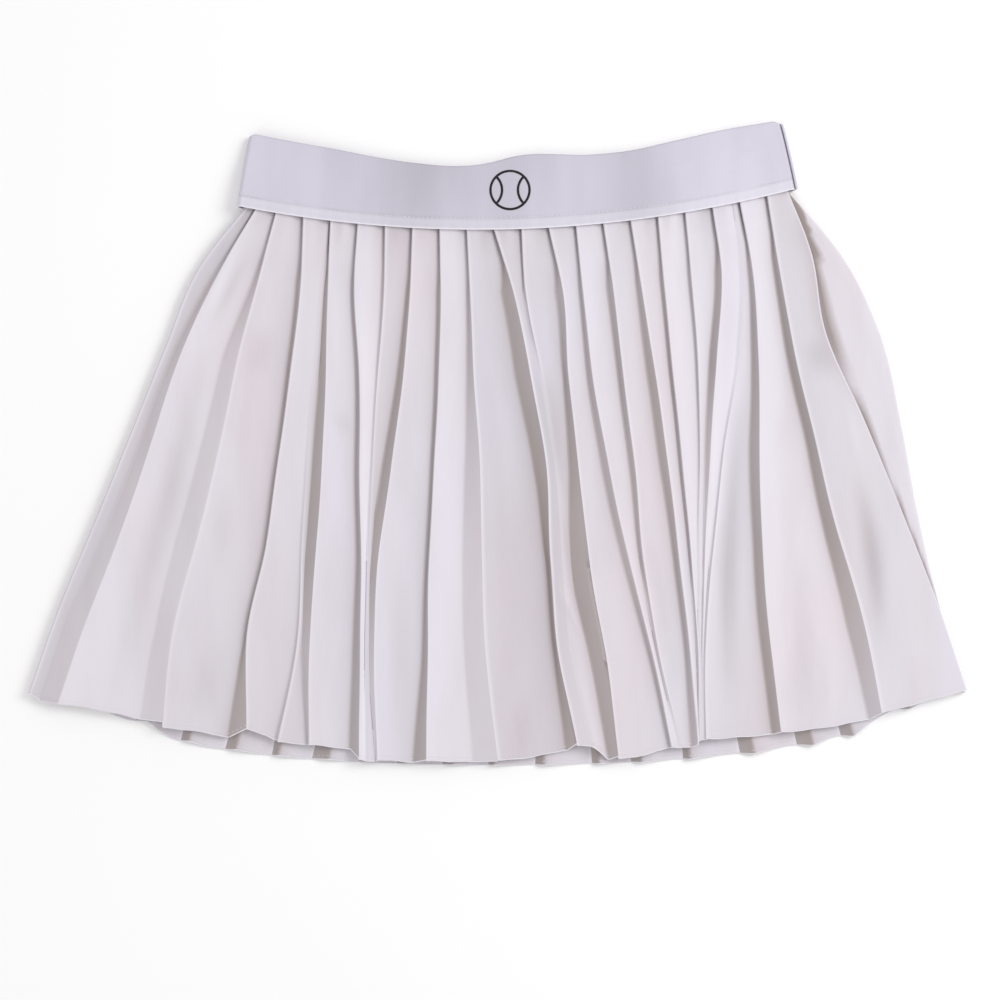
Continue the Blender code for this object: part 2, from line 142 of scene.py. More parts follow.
SCALLOP, SCALLOP_RATE = 0.35 * MM, 260   # waves along the front hem: depth, radians a metre
GATHER_SHADE, GATHER_END = 0.30, 0.035   # painted shadows of gathers under the band, and how soon they fade
HOLLOW_SHADE = 0.16          # painted shade: how much darker the trough of a crease 1 mm deep is
HOLLOW_PAINTED_LIGHT = 0.30           # and how much painted light it takes off its face
RIGHT_SHADE, RIGHT_SHADE_WIDTH = 0.38, 7 * MM    # painted shade beside the front's right edge: how dark, how wide
# Painted shadow in strips of the back past that edge: where each starts to fade and where it
# ends, in millimetres past the edge, and the same along it in shares
RIGHT_GAPS = ((4, 6, 0.28, 0.42), (1, 3, 0.74, 0.86))

# Stitches along the hems and the band
HEM_INSET = 2.2 * MM         # from the edge of a hem to its stitches
HEM_SPACING = 3.1 * MM
BAND_SPACING = 2.9 * MM

STATIONS = np.array((0.0, 0.12, 0.28, 0.46, 0.64, 0.82, 1.0))
QUARTERS = np.array((0.0, 0.3, 0.65, 1.0))

# One row for each fold of the front, left to right, in millimetres.
#   ridge: x of the fold's edge at STATIONS
#   strip: width of shaded cloth seen left of the edge, at STATIONS after the first
#   lift:  height of the edge over the panel's floor at QUARTERS; 0 where the fold hasn't formed
#   depth: how dark the painted shade in the strip is at QUARTERS, 0 to 1
#   hem:   y of the hem at the fold's foot, where the strip meets the edge, and right of the edge
#   tone: painted light and shade of the face right of the edge, -1 to 1, once or at QUARTERS
Fold = namedtuple("Fold", "name ridge strip lift depth hem tone")
FRONT_FOLDS = (
    Fold("side", (-151.5, -173.6, -197.6, -216.2, -235.4, -257.1, -276.3),
         (3.0, 5.0, 7.0, 9.5, 11.5, 10.7), (2.8, 3.0, 3.2, 3.0), (0.5, 0.4, 0.22, 0.22),
         (-162.8, -164.2, -164.4), 0.5),
    Fold("a", (-138.7, -149.2, -163.0, -175.3, -189.3, -204.2, -210.4),
         (3.0, 9.5, 11.5, 12.8, 10.7, 14.5), (2.8, 3.0, 3.0, 3.0), (0.6, 0.15, 0.09, 0.08),
         (-174.2, -175.5, -179.2), 0.1),
    Fold("b", (-121.5, -123.1, -129.0, -136.8, -144.9, -157.4, -157.6),
         (2.7, 2.2, 1.6, 1.4, 1.8, 11.5), (2.8, 3.4, 3.2, 3.2), (0.7, 0.75, 0.75, 0.85),
         (-185.5, -179.9, -180.2), (0.1, 0.1, 0.1, -0.1)),
    Fold("b_low", (-106.5, -110.0, -114.0, -119.5, -123.5, -126.0, -137.7),
         (1.2, 1.2, 1.2, 1.2, 1.2, 1.6), (0.0, 0.0, 0.8, 2.2), (0.0, 0.0, 0.1, 0.25),
         (-187.2, -187.6, -188.2), -0.3),
    Fold("c", (-104.4, -106.1, -107.6, -110.2, -114.0, -118.0, -118.4),
         (2.2, 4.0, 6.2, 7.4, 5.0, 0.8), (2.8, 3.8, 3.8, 3.0), (0.7, 0.85, 0.88, 0.15),
         (-190.3, -190.3, -190.0), 0.2),
    Fold("d", (-87.25, -89.7, -86.6, -86.2, -85.4, -86.5, -86.6),
         (1.4, 1.8, 2.4, 2.6, 4.4, 6.0), (2.8, 3.2, 3.4, 3.6), (0.6, 0.7, 0.75, 0.75),
         (-193.0, -198.2, -199.3), (0.3, 0.9, 0.9, 0.9)),
    Fold("d_low", (-70.1, -71.0, -75.0, -79.0, -81.0, -81.6, -81.0),
         (1.4, 1.2, 1.2, 1.2, 1.2, 1.2), (2.8, 1.0, 0.1, 0.0), (0.5, 0.1, 0.0, 0.0),
         (-200.0, -200.0, -200.0), -0.2),
    Fold("e", (-52.95, -54.5, -59.3, -67.2, -75.2, -77.6, -75.6),
         (2.0, 3.7, 5.5, 5.6, 3.6, 0.8), (2.8, 3.6, 3.8, 2.4), (0.7, 0.85, 0.85, 0.0),
         (-200.4, -200.4, -199.7), 0.1),
    Fold("f", (-35.8, -35.3, -36.6, -39.4, -43.0, -43.7, -44.4),
         (2.2, 2.0, 1.4, 1.5, 3.6, 8.0), (2.8, 3.0, 3.2, 3.8), (0.7, 0.7, 0.75, 0.85),
         (-201.3, -199.5, -200.0), 0.4),
    Fold("g", (-18.65, -16.7, -14.4, -10.9, -9.6, -6.6, 0.3),
         (1.6, 4.2, 9.5, 12.0, 13.0, 15.0), (2.8, 2.8, 2.4, 2.2), (0.6, 0.5, 0.18, 0.15),
         (-201.0, -200.3, -199.9), (-0.2, -0.6, -0.6, -0.5)),
    Fold("h", (-1.5, 10.2, 20.6, 31.0, 33.8, 38.3, 50.4),
         (7.0, 8.8, 7.4, 2.0, 1.6, 6.8), (2.8, 4.2, 3.8, 3.8), (0.8, 0.9, 1.0, 0.85),
         (-193.7, -189.3, -190.5), (-0.1, -0.9, -0.9, -0.2)),
    Fold("h_low", (15.65, 18.0, 28.0, 37.5, 42.0, 47.5, 59.5),
         (1.2, 1.2, 1.2, 1.2, 1.2, 1.2), (2.8, 0.1, 0.0, 0.0), (0.6, 0.0, 0.0, 0.0),
         (-191.0, -191.2, -191.4), (-0.1, -0.4, -0.3, 0.4)),
    Fold("i", (32.8, 41.5, 45.0, 51.4, 58.6, 69.0, 76.2),
         (4.4, 2.4, 5.6, 12.0, 9.5, 6.0), (2.8, 3.6, 4.0, 3.8), (0.65, 0.75, 0.9, 0.75),
         (-199.4, -197.2, -198.6), 0.0),
    Fold("j", (49.95, 54.0, 59.8, 70.4, 82.8, 97.6, 110.4),
         (1.6, 2.8, 4.2, 3.8, 1.8, 1.0), (2.8, 3.2, 3.0, 3.0), (0.5, 0.65, 0.5, 0.45),
         (-192.0, -192.0, -191.5), 0.3),
    Fold("k", (67.1, 73.0, 79.2, 86.4, 92.0, 102.0, 115.5),
         (3.6, 2.8, 3.1, 1.8, 1.2, 1.2), (2.8, 3.4, 2.4, 0.0), (0.65, 0.7, 0.5, 0.0),
         (-191.5, -191.4, -191.3), 0.0),
    Fold("l", (84.25, 90.6, 98.6, 107.3, 114.6, 121.0, 126.2),
         (2.5, 4.6, 4.6, 2.6, 2.4, 4.0), (2.8, 3.4, 3.4, 3.2), (0.5, 0.8, 0.7, 0.5),
         (-191.8, -190.0, -188.3), 0.1),
    Fold("m", (101.4, 105.0, 110.4, 116.6, 121.8, 126.2, 127.8),
         (1.6, 1.3, 1.5, 1.0, 0.8, 0.8), (2.8, 2.8, 2.2, 0.2), (0.55, 0.65, 0.5, 0.0),
         (-187.8, -187.7, -187.6), 0.5),
    Fold("n", (118.55, 122.4, 126.6, 127.4, 126.8, 127.6, 128.7),
         (1.4, 1.0, 0.8, 0.8, 0.8, 0.8), (2.8, 2.0, 0.1, 0.0), (0.5, 0.4, 0.0, 0.0),
         (-187.4, -187.3, -187.3), (0.1, 0.5, 0.5, 0.5)),
    Fold("o", (135.7, 141.2, 137.9, 134.3, 131.0, 129.0, 129.6),
         (3.6, 4.0, 3.0, 0.8, 0.8, 0.8), (2.8, 3.8, 1.2, 0.0), (0.75, 0.8, 0.1, 0.0),
         (-187.2, -187.1, -187.0), (0.1, 0.4, 0.9, 0.9)),
    Fold("o_low", (148.0, 153.6, 152.0, 142.8, 136.0, 131.2, 131.4),
         (1.2, 1.2, 1.2, 1.2, 1.2, 1.4), (0.0, 0.2, 2.0, 2.2), (0.0, 0.0, 0.15, 0.3),
         (-187.0, -186.6, -186.2), (0.1, 0.2, 0.1, -0.1)),
    Fold("p", (152.85, 160.4, 164.2, 164.8, 166.8, 171.2, 178.4),
         (2.2, 3.5, 5.6, 5.0, 5.4, 5.0), (2.8, 3.8, 3.8, 3.8), (0.6, 0.75, 0.85, 0.85),
         (-183.6, -182.0, -181.8), 0.4),
    Fold("q", (170.0, 176.4, 185.6, 199.2, 212.8, 230.0, 242.0),
         (2.6, 4.2, 4.8, 6.6, 9.5, 7.5), (2.8, 3.8, 4.0, 3.4), (0.7, 0.9, 0.9, 0.45),
         (-174.2, -170.2, -169.8), (-0.2, -0.3, -0.3, 0.0)),
)

# Side outlines in millimetres at STATIONS: the front panel's two edges, and the back panel's
# edge on the right, where it swells out past the front
SIDE_LEFT = (-158.5, -187.5, -208.4, -230.5, -252.9, -275.8, -295.3)
SIDE_RIGHT = (182.6, 197.4, 206.5, 231.2, 254.4, 276.4, 295.3)
SWELL_RIGHT = (182.8, 215.5, 240.9, 254.3, 264.8, 278.0, 295.3)
SIDE_HEM = (-157.8, -155.9)  # y of the hem at the left and the right side

# One row for each fold of the back, left to right as seen from behind, in millimetres.
#   hem:   x of the fold's edge at the hem
#   bow:   how far its middle stands to the right of the straight line from band to hem
#   strip: width of shaded cloth beside the edge at the hem
BackFold = namedtuple("BackFold", "hem bow strip")
BACK_FOLDS = (
    BackFold(-254, 6, 5), BackFold(-217, 4, 7), BackFold(-189, 0, 9.4), BackFold(-153, 3, 8.2),
    BackFold(-117.5, -2, 4), BackFold(-84, 0, 6), BackFold(-59.5, 4, 4), BackFold(-24, -3, 5),
    BackFold(6, 2, 3), BackFold(35, -3, 6), BackFold(64, 0, 5), BackFold(88, 3, 4),
    BackFold(117, -4, 10), BackFold(143, 2, 4), BackFold(172, -3, 6.3), BackFold(200, 3, 5),
    BackFold(229, 0, 7), BackFold(259, -4, 5),
)
BACK_FIRST_FOLD = -151.0
PLEAT_PITCH = 17.15
# Width of a back strip at the band in millimetres, and how dark the painted shade in the back's
# strips is
BACK_STRIP_TOP = 1.4
BACK_STRIP_SHADE = 0.9

# Soft creases laid in one by one: troughs where `depth` is above 0, ridges where it is below.
#   share: where the crease starts and ends
#   x:     its middle line at the start, half way and at the end, in millimetres
#   width: half of its width in millimetres; depth in millimetres
Crease = namedtuple("Crease", "share x width depth")
FRONT_CREASES = (
    Crease((0.18, 1.08), (-176, -212, -251), 7.5, 1.2),
    Crease((0.04, 0.26), (-155, -168, -185), 4.0, 1.0),
    Crease((0.06, 0.24), (-166, -177, -190), 2.2, -0.7),
    Crease((0.00, 0.12), (-160, -170, -182), 2.5, 0.8),
    Crease((0.50, 0.72), (-174, -175, -177), 6.0, 0.6),
    Crease((0.82, 1.00), (-181, -184, -187), 6.0, 0.7),
    Crease((0.35, 0.42), (-98, -96, -93), 7.0, 0.5),
    Crease((0.06, 0.34), (-108, -104, -103), 5.0, -0.4),
    Crease((0.14, 0.66), (-8, 4, 13), 5.0, -0.7),
    Crease((0.86, 1.05), (18, 14, 12), 6.0, 0.7),
    Crease((0.22, 0.56), (28, 36, 43), 5.0, 0.9),
    Crease((0.52, 0.80), (40, 50, 62), 5.0, 0.9),
    Crease((0.64, 0.86), (26, 50, 72), 3.5, -0.9),
    Crease((0.02, 0.14), (1, 3, 5), 3.0, 0.7),
    Crease((0.10, 0.62), (88, 98, 108), 4.0, 0.6),
    Crease((0.30, 1.04), (156, 144, 148), 6.0, 1.9),
    Crease((0.26, 0.40), (144, 148, 147), 3.0, -0.5),
    Crease((0.62, 1.08), (190, 190, 187), 9.0, 0.7),
    Crease((0.27, 0.38), (196, 203, 209), 11.0, 1.0),
    Crease((0.78, 1.30), (182, 196, 214), 24.0, 0.5),
    Crease((0.20, 0.34), (-146, -152, -160), 9.0, 0.7),
    Crease((0.36, 0.58), (218, 223, 231), 3.0, -0.6),
    Crease((0.52, 0.94), (222, 235, 238), 5.5, 2.0),
    Crease((0.93, 1.04), (-17, -16, -16), 1.4, 0.6),
    Crease((0.44, 0.80), (-30, -27, -25), 6.0, -0.5),
    Crease((0.55, 1.05), (-63, -62, -60), 7.0, 0.6),
    Crease((0.50, 0.95), (86, 102, 113), 4.0, 0.4),
)
BACK_CREASES = (
    Crease((0.10, 0.45), (-196, -214, -226), 6.0, 0.8),
    Crease((0.40, 1.05), (-205, -216, -232), 7.0, 1.0),
    Crease((0.30, 0.90), (-128, -134, -140), 6.0, 0.8),
    Crease((0.50, 1.05), (-63, -66, -70), 7.0, 0.7),
    Crease((0.20, 0.60), (-12, -6, -9), 5.0, 0.6),
    Crease((0.55, 1.05), (17, 20, 24), 6.0, 0.8),
    Crease((0.15, 0.70), (75, 80, 78), 5.0, 0.7),
    Crease((0.45, 1.05), (122, 129, 133), 6.0, 0.9),
    Crease((0.25, 0.80), (168, 184, 196), 7.0, 0.9),
)

# Painted shade of the band along its length, darker at the middle of the waist: x in millimetres,
# factor
BAND_PAINTED_LIGHT = (
    (-165, 1.09), (-115, 1.07), (-97, 0.96), (-82, 0.93), (-60, 0.90), (-10, 0.88), (30, 0.90),
    (60, 0.93), (80, 0.90), (98, 0.98), (130, 1.0), (160, 1.02), (188, 0.99),
)

# Small dents in the band in millimetres: x, height over its lower edge, half of their width and
# of their height, depth
BAND_DENTS = (
    (-129, 9, 2.5, 1.2, 0.5), (125, 27, 9, 1.6, 0.35), (112, 31, 5, 1.0, 0.3),
    (155, 32, 5, 1.2, 0.4), (158, 24, 8, 3.0, 0.35), (103, 21, 4, 1.0, 0.25),
    (-88, 12, 4, 1.6, 0.3), (-60, 15, 7, 3.0, 0.3), (60, 20, 12, 4.0, 0.25),
    (-110, 28, 14, 5.0, 0.25),
)

# Ball printed on the band
MOTIF_CENTRE = (7.9 * MM, 158.5 * MM)
MOTIF_SEAM_RADIUS = 12.0 * MM
MOTIF_SEAM_OFFSET = 17.0 * MM
MOTIF_SEAM_ANGLE = 0.77
PRINT_WALL = 0.12 * MM
PRINT_RISE = 0.08 * MM       # middle of the ink over the elastic
PRINT_LAYER = 0.02 * MM      # how much higher each next line of the print lies

# Stage: each lamp's name, place, size and power
LAMPS = (("key", (1.3, 0.55, 1.25), 0.9, 16.5), ("fill", (-1.1, -0.8, 1.5), 1.6, 5.5))
SKY, SKY_STRENGTH = (1.0, 0.985, 0.99, 1.0), 0.70
TABLE_HALF = 3.0             # half of the table's side
LENS = 85.0
VIEW_CENTRE = (1.6 * MM, -36.2 * MM)
VIEW_WIDTH = 0.63            # what the camera sees across at the level of the front panel


class SkirtSizes(bpy.types.PropertyGroup):
    """Sizes of the cloth, the stitches and the print."""

    cloth: FloatProperty(
        name="Cloth", description="Thickness of the pleated cloth", default=0.45 * MM,
        min=0.1 * MM, unit="LENGTH")
    fold_radius: FloatProperty(
        name="Fold radius", description="Radius of a fold at the middle of the cloth",
        default=0.6 * MM, unit="LENGTH")
    rows: IntProperty(
        name="Rows", description="Rows of faces from the band to the hem", default=84, min=20)
    hem_roll: FloatProperty(
        name="Hem roll", description="Radius of the rolled hem", default=0.42 * MM,
        unit="LENGTH")
    stitch: FloatProperty(
        name="Stitch", description="Length of one stitch", default=2.3 * MM, unit="LENGTH")
    thread: FloatProperty(
        name="Thread", description="Radius of the sewing thread", default=0.16 * MM,
        unit="LENGTH")
    print_radius: FloatProperty(
        name="Print radius", description="Radius of the printed ball", default=13.0 * MM,
        unit="LENGTH")
    print_line: FloatProperty(
        name="Print line", description="Width of the printed line", default=1.5 * MM,
        unit="LENGTH")


class SkirtColours(bpy.types.PropertyGroup):
    """Colours of the finishes."""

    cool: FloatVectorProperty(
        name="Cool white", description="Cloth where its dye is coolest",
        subtype="COLOR", default=(0.672, 0.650, 0.720))
    warm: FloatVectorProperty(
        name="Warm white", description="Cloth where its dye is warmest",
        subtype="COLOR", default=(0.672, 0.625, 0.668))
    # Painted shade: mixed into the cloth inside the folds and into the band's stitched groove and
    # right end
    shade: FloatVectorProperty(
        name="Fold shade", description="Cloth deep inside a fold",
        subtype="COLOR", default=(0.285, 0.236, 0.212))
    elastic: FloatVectorProperty(
        name="Elastic", description="Waistband", subtype="COLOR", default=(0.60, 0.58, 0.67))
    thread: FloatVectorProperty(
        name="Thread", description="Sewing thread", subtype="COLOR", default=(0.82, 0.80, 0.85))
    ink: FloatVectorProperty(
        name="Ink", description="Print on the band", subtype="COLOR", default=(0.008, 0.008, 0.01))
    floor: FloatVectorProperty(
        name="Floor", description="Table under the skirt", subtype="COLOR",
        default=(0.96, 0.96, 0.96))


def through(stations, values, shares):
    """Read rows of values between their stations.

    Between two stations the value follows a cubic whose slope at each is the mean of the slopes
    beside it. `values` is rows by stations, and the answer is shares by rows.
    """
    values = np.atleast_2d(np.asarray(values, float))
    gaps = np.diff(stations)
    slopes = np.diff(values, axis=1) / gaps
    inner = (slopes[:, :-1] * gaps[1:] + slopes[:, 1:] * gaps[:-1]) / (gaps[1:] + gaps[:-1])
    slopes = np.concatenate((slopes[:, :1], inner, slopes[:, -1:]), axis=1)
    cell = np.clip(np.searchsorted(stations, shares, side="right") - 1, 0, len(gaps) - 1)
    t = (shares - stations[cell]) / gaps[cell]
    before, after = values[:, cell], values[:, cell + 1]
    bend = slopes[:, cell] * gaps[cell] * t * (1 - t) ** 2
    bend -= slopes[:, cell + 1] * gaps[cell] * t ** 2 * (1 - t)
    return (before + (after - before) * t * t * (3 - 2 * t) + bend).T


def smooth_step(value, low, high):
    """0 below `low`, 1 above `high`, and 3q^2 - 2q^3 between."""
    q = np.clip((value - low) / (high - low), 0.0, 1.0)
    return q * q * (3 - 2 * q)


def lip_line(x):
    """Y of the band's lower edge: a shallow bowl, a little higher on the right."""
    return LIP_HEIGHT + LIP_SLOPE * x + LIP_BOWL * x ** 2


def back_hem(x):
    """Y of the back hem: a bowl, raised just inside the two side corners."""
    bowl = BACK_HEM_HEIGHT + BACK_HEM_BOWL * x ** 2 + BACK_HEM_FLARE * x ** 4
    raised = smooth_step(-x, *HEM_TUCK_LEFT) + smooth_step(x, *HEM_TUCK_RIGHT)
    return bowl + HEM_TUCK * raised * (1 - smooth_step(np.abs(x), *HEM_TUCK_END))


def release(shares):
    """How far the cloth has left the level at which the band holds it, from 0 to 1."""
    return smooth_step(shares, *RELEASE)


def row_shares(rows):
    """Shares of the rows: closer together near the band and at the hem."""
    even = np.linspace(0.0, 1.0, rows)
    near_band = 0.02 * np.sin(2 * np.pi * even)
    return np.unique(np.concatenate((np.clip(even - near_band, 0, 1), EXTRA_ROWS)))


class Section:
    """Columns of a pleated panel gathered from left to right, each an array with a value a row.

    shade: painted shade inside a fold, edge: painted highlight on a fold's edge, tone:
    painted light and shade of the face, face: 1 in the middle of a face and 0 at its ends, down:
    place of the hem.
    """

    FIELDS = ("x", "z", "shade", "edge", "tone", "face", "down")

    def __init__(self):
        self.columns = {field: [] for field in self.FIELDS}

    def add(self, **fields):
        """Add columns. Each field is rows by columns, or one value for all."""
        size = np.broadcast_shapes(*(np.shape(value) for value in fields.values()))
        for field in self.FIELDS:
            self.columns[field].append(np.broadcast_to(fields.get(field, 0.0), size))

    def grid(self, field):
        """All columns of one field, rows by columns."""
        return np.concatenate(self.columns[field], axis=1)


def fall(t, hold):
    """Height left on a face: 1 until `hold`, and then 1 - q^power to 0 at its toe."""
    q = np.clip((t - hold) / (1 - hold), 0.0, 1.0)
    return 1 - q ** FALL_POWER


def fold_curve(edge, w, low, top, radius):
    """Side view of a fold from its foot to its edge, as x and z, rows by points.

    The cloth turns up through the angle a = atan2(h - 2r, w) + asin(2r / hypot(w, h - 2r)) on an
    arc of radius r, climbs straight, and turns back through it at the edge, h higher and w to the
    right of its foot. Where w is below 0, the fold leans over its foot as a shut lap.
    """
    h = np.maximum(top - low, LEAST_RISE)
    r = np.minimum(radius, h / 4)
    angle = np.arctan2(h - 2 * r, w)
    angle += np.arcsin(np.clip(2 * r / np.hypot(w, h - 2 * r), 0.0, 1.0))
    turn = angle[:, None] * np.arange(ARC_POINTS) / (ARC_POINTS - 1)
    run, climb = r[:, None] * np.sin(turn), r[:, None] * (1 - np.cos(turn))
    straight = np.arange(1, STRIP_POINTS) / STRIP_POINTS
    curve = []
    for start, end, bend in ((edge - w, edge, run), (low, top, climb)):
        first, last = start[:, None] + bend, (end[:, None] - bend)[:, ::-1]
        between = first[:, -1:] + (last[:, :1] - first[:, -1:]) * straight
        curve.append(np.concatenate((first, between, last), axis=1))
    return curve


def knife_pleats(section, ridge, strip, lift, depth, hem, tone, floor, start, radius):
    """Add folds to a section, left to right, and return where the last edge lies.

    The face before a fold falls from the last edge to the floor. Where a fold hasn't formed, the
    face passes on towards the next one, and the fold's points are spread evenly along it.
    `ridge`, `strip`, `lift`, `depth` (how dark the painted shade is) and `tone` are rows
    by folds, `hem` has three places a fold, and `start` is (x, z, hem, painted light, painted
    highlight) at the edge from which the first face falls.
    """
    edge, height, edge_hem, face_light, light = start
    for i in range(ridge.shape[1]):
        x, w, dark = ridge[:, i], strip[:, i], depth[:, i][:, None]
        foot = x - w
        toe = np.minimum(x - TOE_ROOM, foot - np.minimum(MM, 0.25 * (foot - edge)))
        toe = np.maximum(toe, edge + 0.3 * (x - edge))
        width = toe - edge
        opened = smooth_step(w, -0.5 * MM, 0.5 * MM)
        low = floor + opened * (height - floor) * (1 - np.minimum(1.0, width / FALL_WIDTH))
        if i + 1 < ridge.shape[1]:
            reach = ridge[:, i + 1] - np.maximum(strip[:, i + 1], 0.0) - edge
            part = np.clip(width / np.maximum(reach, MM), 0.0, 1.0)
            passing = floor + (height - floor) * (1 - part ** FALL_POWER)
            low = passing + (low - passing) * smooth_step(lift[:, i], 0.0, STEP)
        top = np.maximum(floor + lift[:, i], low + np.minimum(STEP, lift[:, i]))
        formed = np.clip(np.maximum(top - low, LEAST_RISE) / MM, 0.0, 1.0)[:, None]

        t = (1 - np.cos(np.pi * np.arange(1, FACE_POINTS + 1) / FACE_POINTS)) / 2
        last_strip = strip[:, max(i - 1, 0)]
        hold = np.clip((-last_strip + TOE_ROOM) / width, 0.0, FACE_HOLD)
        hold = np.where(last_strip < 0, hold, 0.0)[:, None]
        face_x = edge[:, None] + width[:, None] * t
        to_toe = (toe[:, None] - face_x) / MM
        from_edge = (face_x - edge[:, None]) / MM
        # Painted shade falling to the toe, painted highlight beside the last edge, and painted light
        # of the face, lighter beside its edge
        line = FOOT_LINE[0] * np.exp(-(to_toe / FOOT_LINE[1]) ** 2)
        line = line + FOOT_FADE[0] * np.exp(-to_toe / FOOT_FADE[1])
        nearer = np.where(t < 0.5, light, formed)
        section.add(x=face_x, z=low[:, None] + (height - low)[:, None] * fall(t, hold),
                    shade=line * formed * dark, edge=np.exp(-(from_edge / EDGE_LIGHT) ** 2) * light,
                    tone=face_light * smooth_step(from_edge, 0.0, 2.0)
                    + FACE_SLOPE * (0.5 - t) * nearer,
                    face=1 - (1 - np.sin(np.pi * t) ** FACE_POWER) * nearer,
                    down=edge_hem + (hem[i][0] - edge_hem) * t ** 1.5)

        fold_x, fold_z = fold_curve(x, w, low, top, radius)
        k = np.linspace(0.0, 1.0, fold_x.shape[1])
        even_x = foot[:, None] + (x - foot)[:, None] * k
        even_z = low[:, None] + (top - low)[:, None] * k
        in_edge = np.clip((k - EDGE_START) / (1 - EDGE_START), 0.0, 1.0)
        # Painted shade in the fold's strip, lighter towards its edge, and a painted highlight on the
        # edge
        section.add(x=even_x + (fold_x - even_x) * formed,
                    z=even_z + (fold_z - even_z) * formed,
                    shade=formed * dark * (1 - 0.3 * k) * (1 - in_edge),
                    edge=formed * in_edge ** 2, face=1 - formed,
                    down=np.interp(k, (0.0, 1 - EDGE_START, EDGE_START, 1.0), hem[i][[0, 0, 1, 2]]))
        edge, height, edge_hem, light = x, top, hem[i][2], formed
        face_light = tone[:, i][:, None]
    return edge, height, edge_hem, face_light


def crease_field(creases, x, shares):
    """Depth of all creases at each point of a grid.

    A crease is d exp(-(distance / width)^2), faded in and out along its length by sin^2. Its
    middle line is the parabola through its three x.
    """
    field = np.zeros_like(x)
    for crease in creases:
        start, end = crease.share
        t = np.clip((shares - start) / (end - start), 0.0, 1.0)[:, None]
        a, b, c = np.array(crease.x) * MM
        middle = a * (1 - t) * (1 - 2 * t) + 4 * b * t * (1 - t) + c * t * (2 * t - 1)
        away = (x - middle) / (crease.width * MM)
        field += crease.depth * MM * np.exp(-away ** 2) * np.sin(np.pi * t) ** 2
    return field


def drift(x, shares):
    """Slow unevenness of soft cloth, -1 to 1: three crossed sine waves."""
    s = shares[:, None]
    wave = np.sin(41 * x + 9 * s + 1.0) * np.sin(7.3 * s + 17 * x)
    wave += 0.6 * np.sin(97 * x - 14 * s + 2.0) + 0.5 * np.sin(23 * s + 150 * x)
    return wave / 2.1


def sway(count, shares):
    """Sideways unevenness of each fold, rows by folds, -1 to 1: two sines with a phase a fold."""
    fold = np.arange(count) * 2.4
    s = shares[:, None]
    wave = np.sin(2 * np.pi * 1.7 * s + fold) + 0.6 * np.sin(2 * np.pi * 4.3 * s + 1.9 * fold)
    return wave / 1.6


def shut_to_open(laps, strips, shares):
    """Width of each strip: the lap below 0 at the band, run out at LAP_END, and then open."""
    stations = np.concatenate(((0.0, LAP_END), STATIONS[1:]))
    run_out = np.where(laps > 0, *LAP_END_STRIP)
    values = np.concatenate((-laps[:, None], run_out[:, None], strips), axis=1)
    return np.stack([np.interp(shares, stations, row) for row in values], axis=1) * MM


def at_quarters(field, shares):
    """One field of the front's folds, given once or at QUARTERS, as shares by folds."""
    rows = [np.broadcast_to(getattr(fold, field), 4) for fold in FRONT_FOLDS]
    return np.stack([np.interp(shares, QUARTERS, row) for row in rows], axis=1)


def side_line(outline, shares):
    """X of a panel's side at each share."""
    return through(STATIONS, outline, shares)[:, 0] * MM


def add_side(section, side, low, radius, inwards, points, down, dark=0.0):
    """Half circle of cloth at a side: x = side + inwards r (1 - cos a), z = low + r (1 + sin a).

    `inwards` is 1 on the left, where the angle a runs up, and -1 on the right, where it runs down.
    `dark` is painted shade on the half circle's lower side.
    """
    a = np.linspace(-0.5 * np.pi, 0.5 * np.pi, points)[::inwards]
    section.add(x=side[:, None] + inwards * radius * (1 - np.cos(a)),
                z=low[:, None] + radius * (1 + np.sin(a)),
                shade=dark * (1 - np.sin(a)) / 2, down=down)


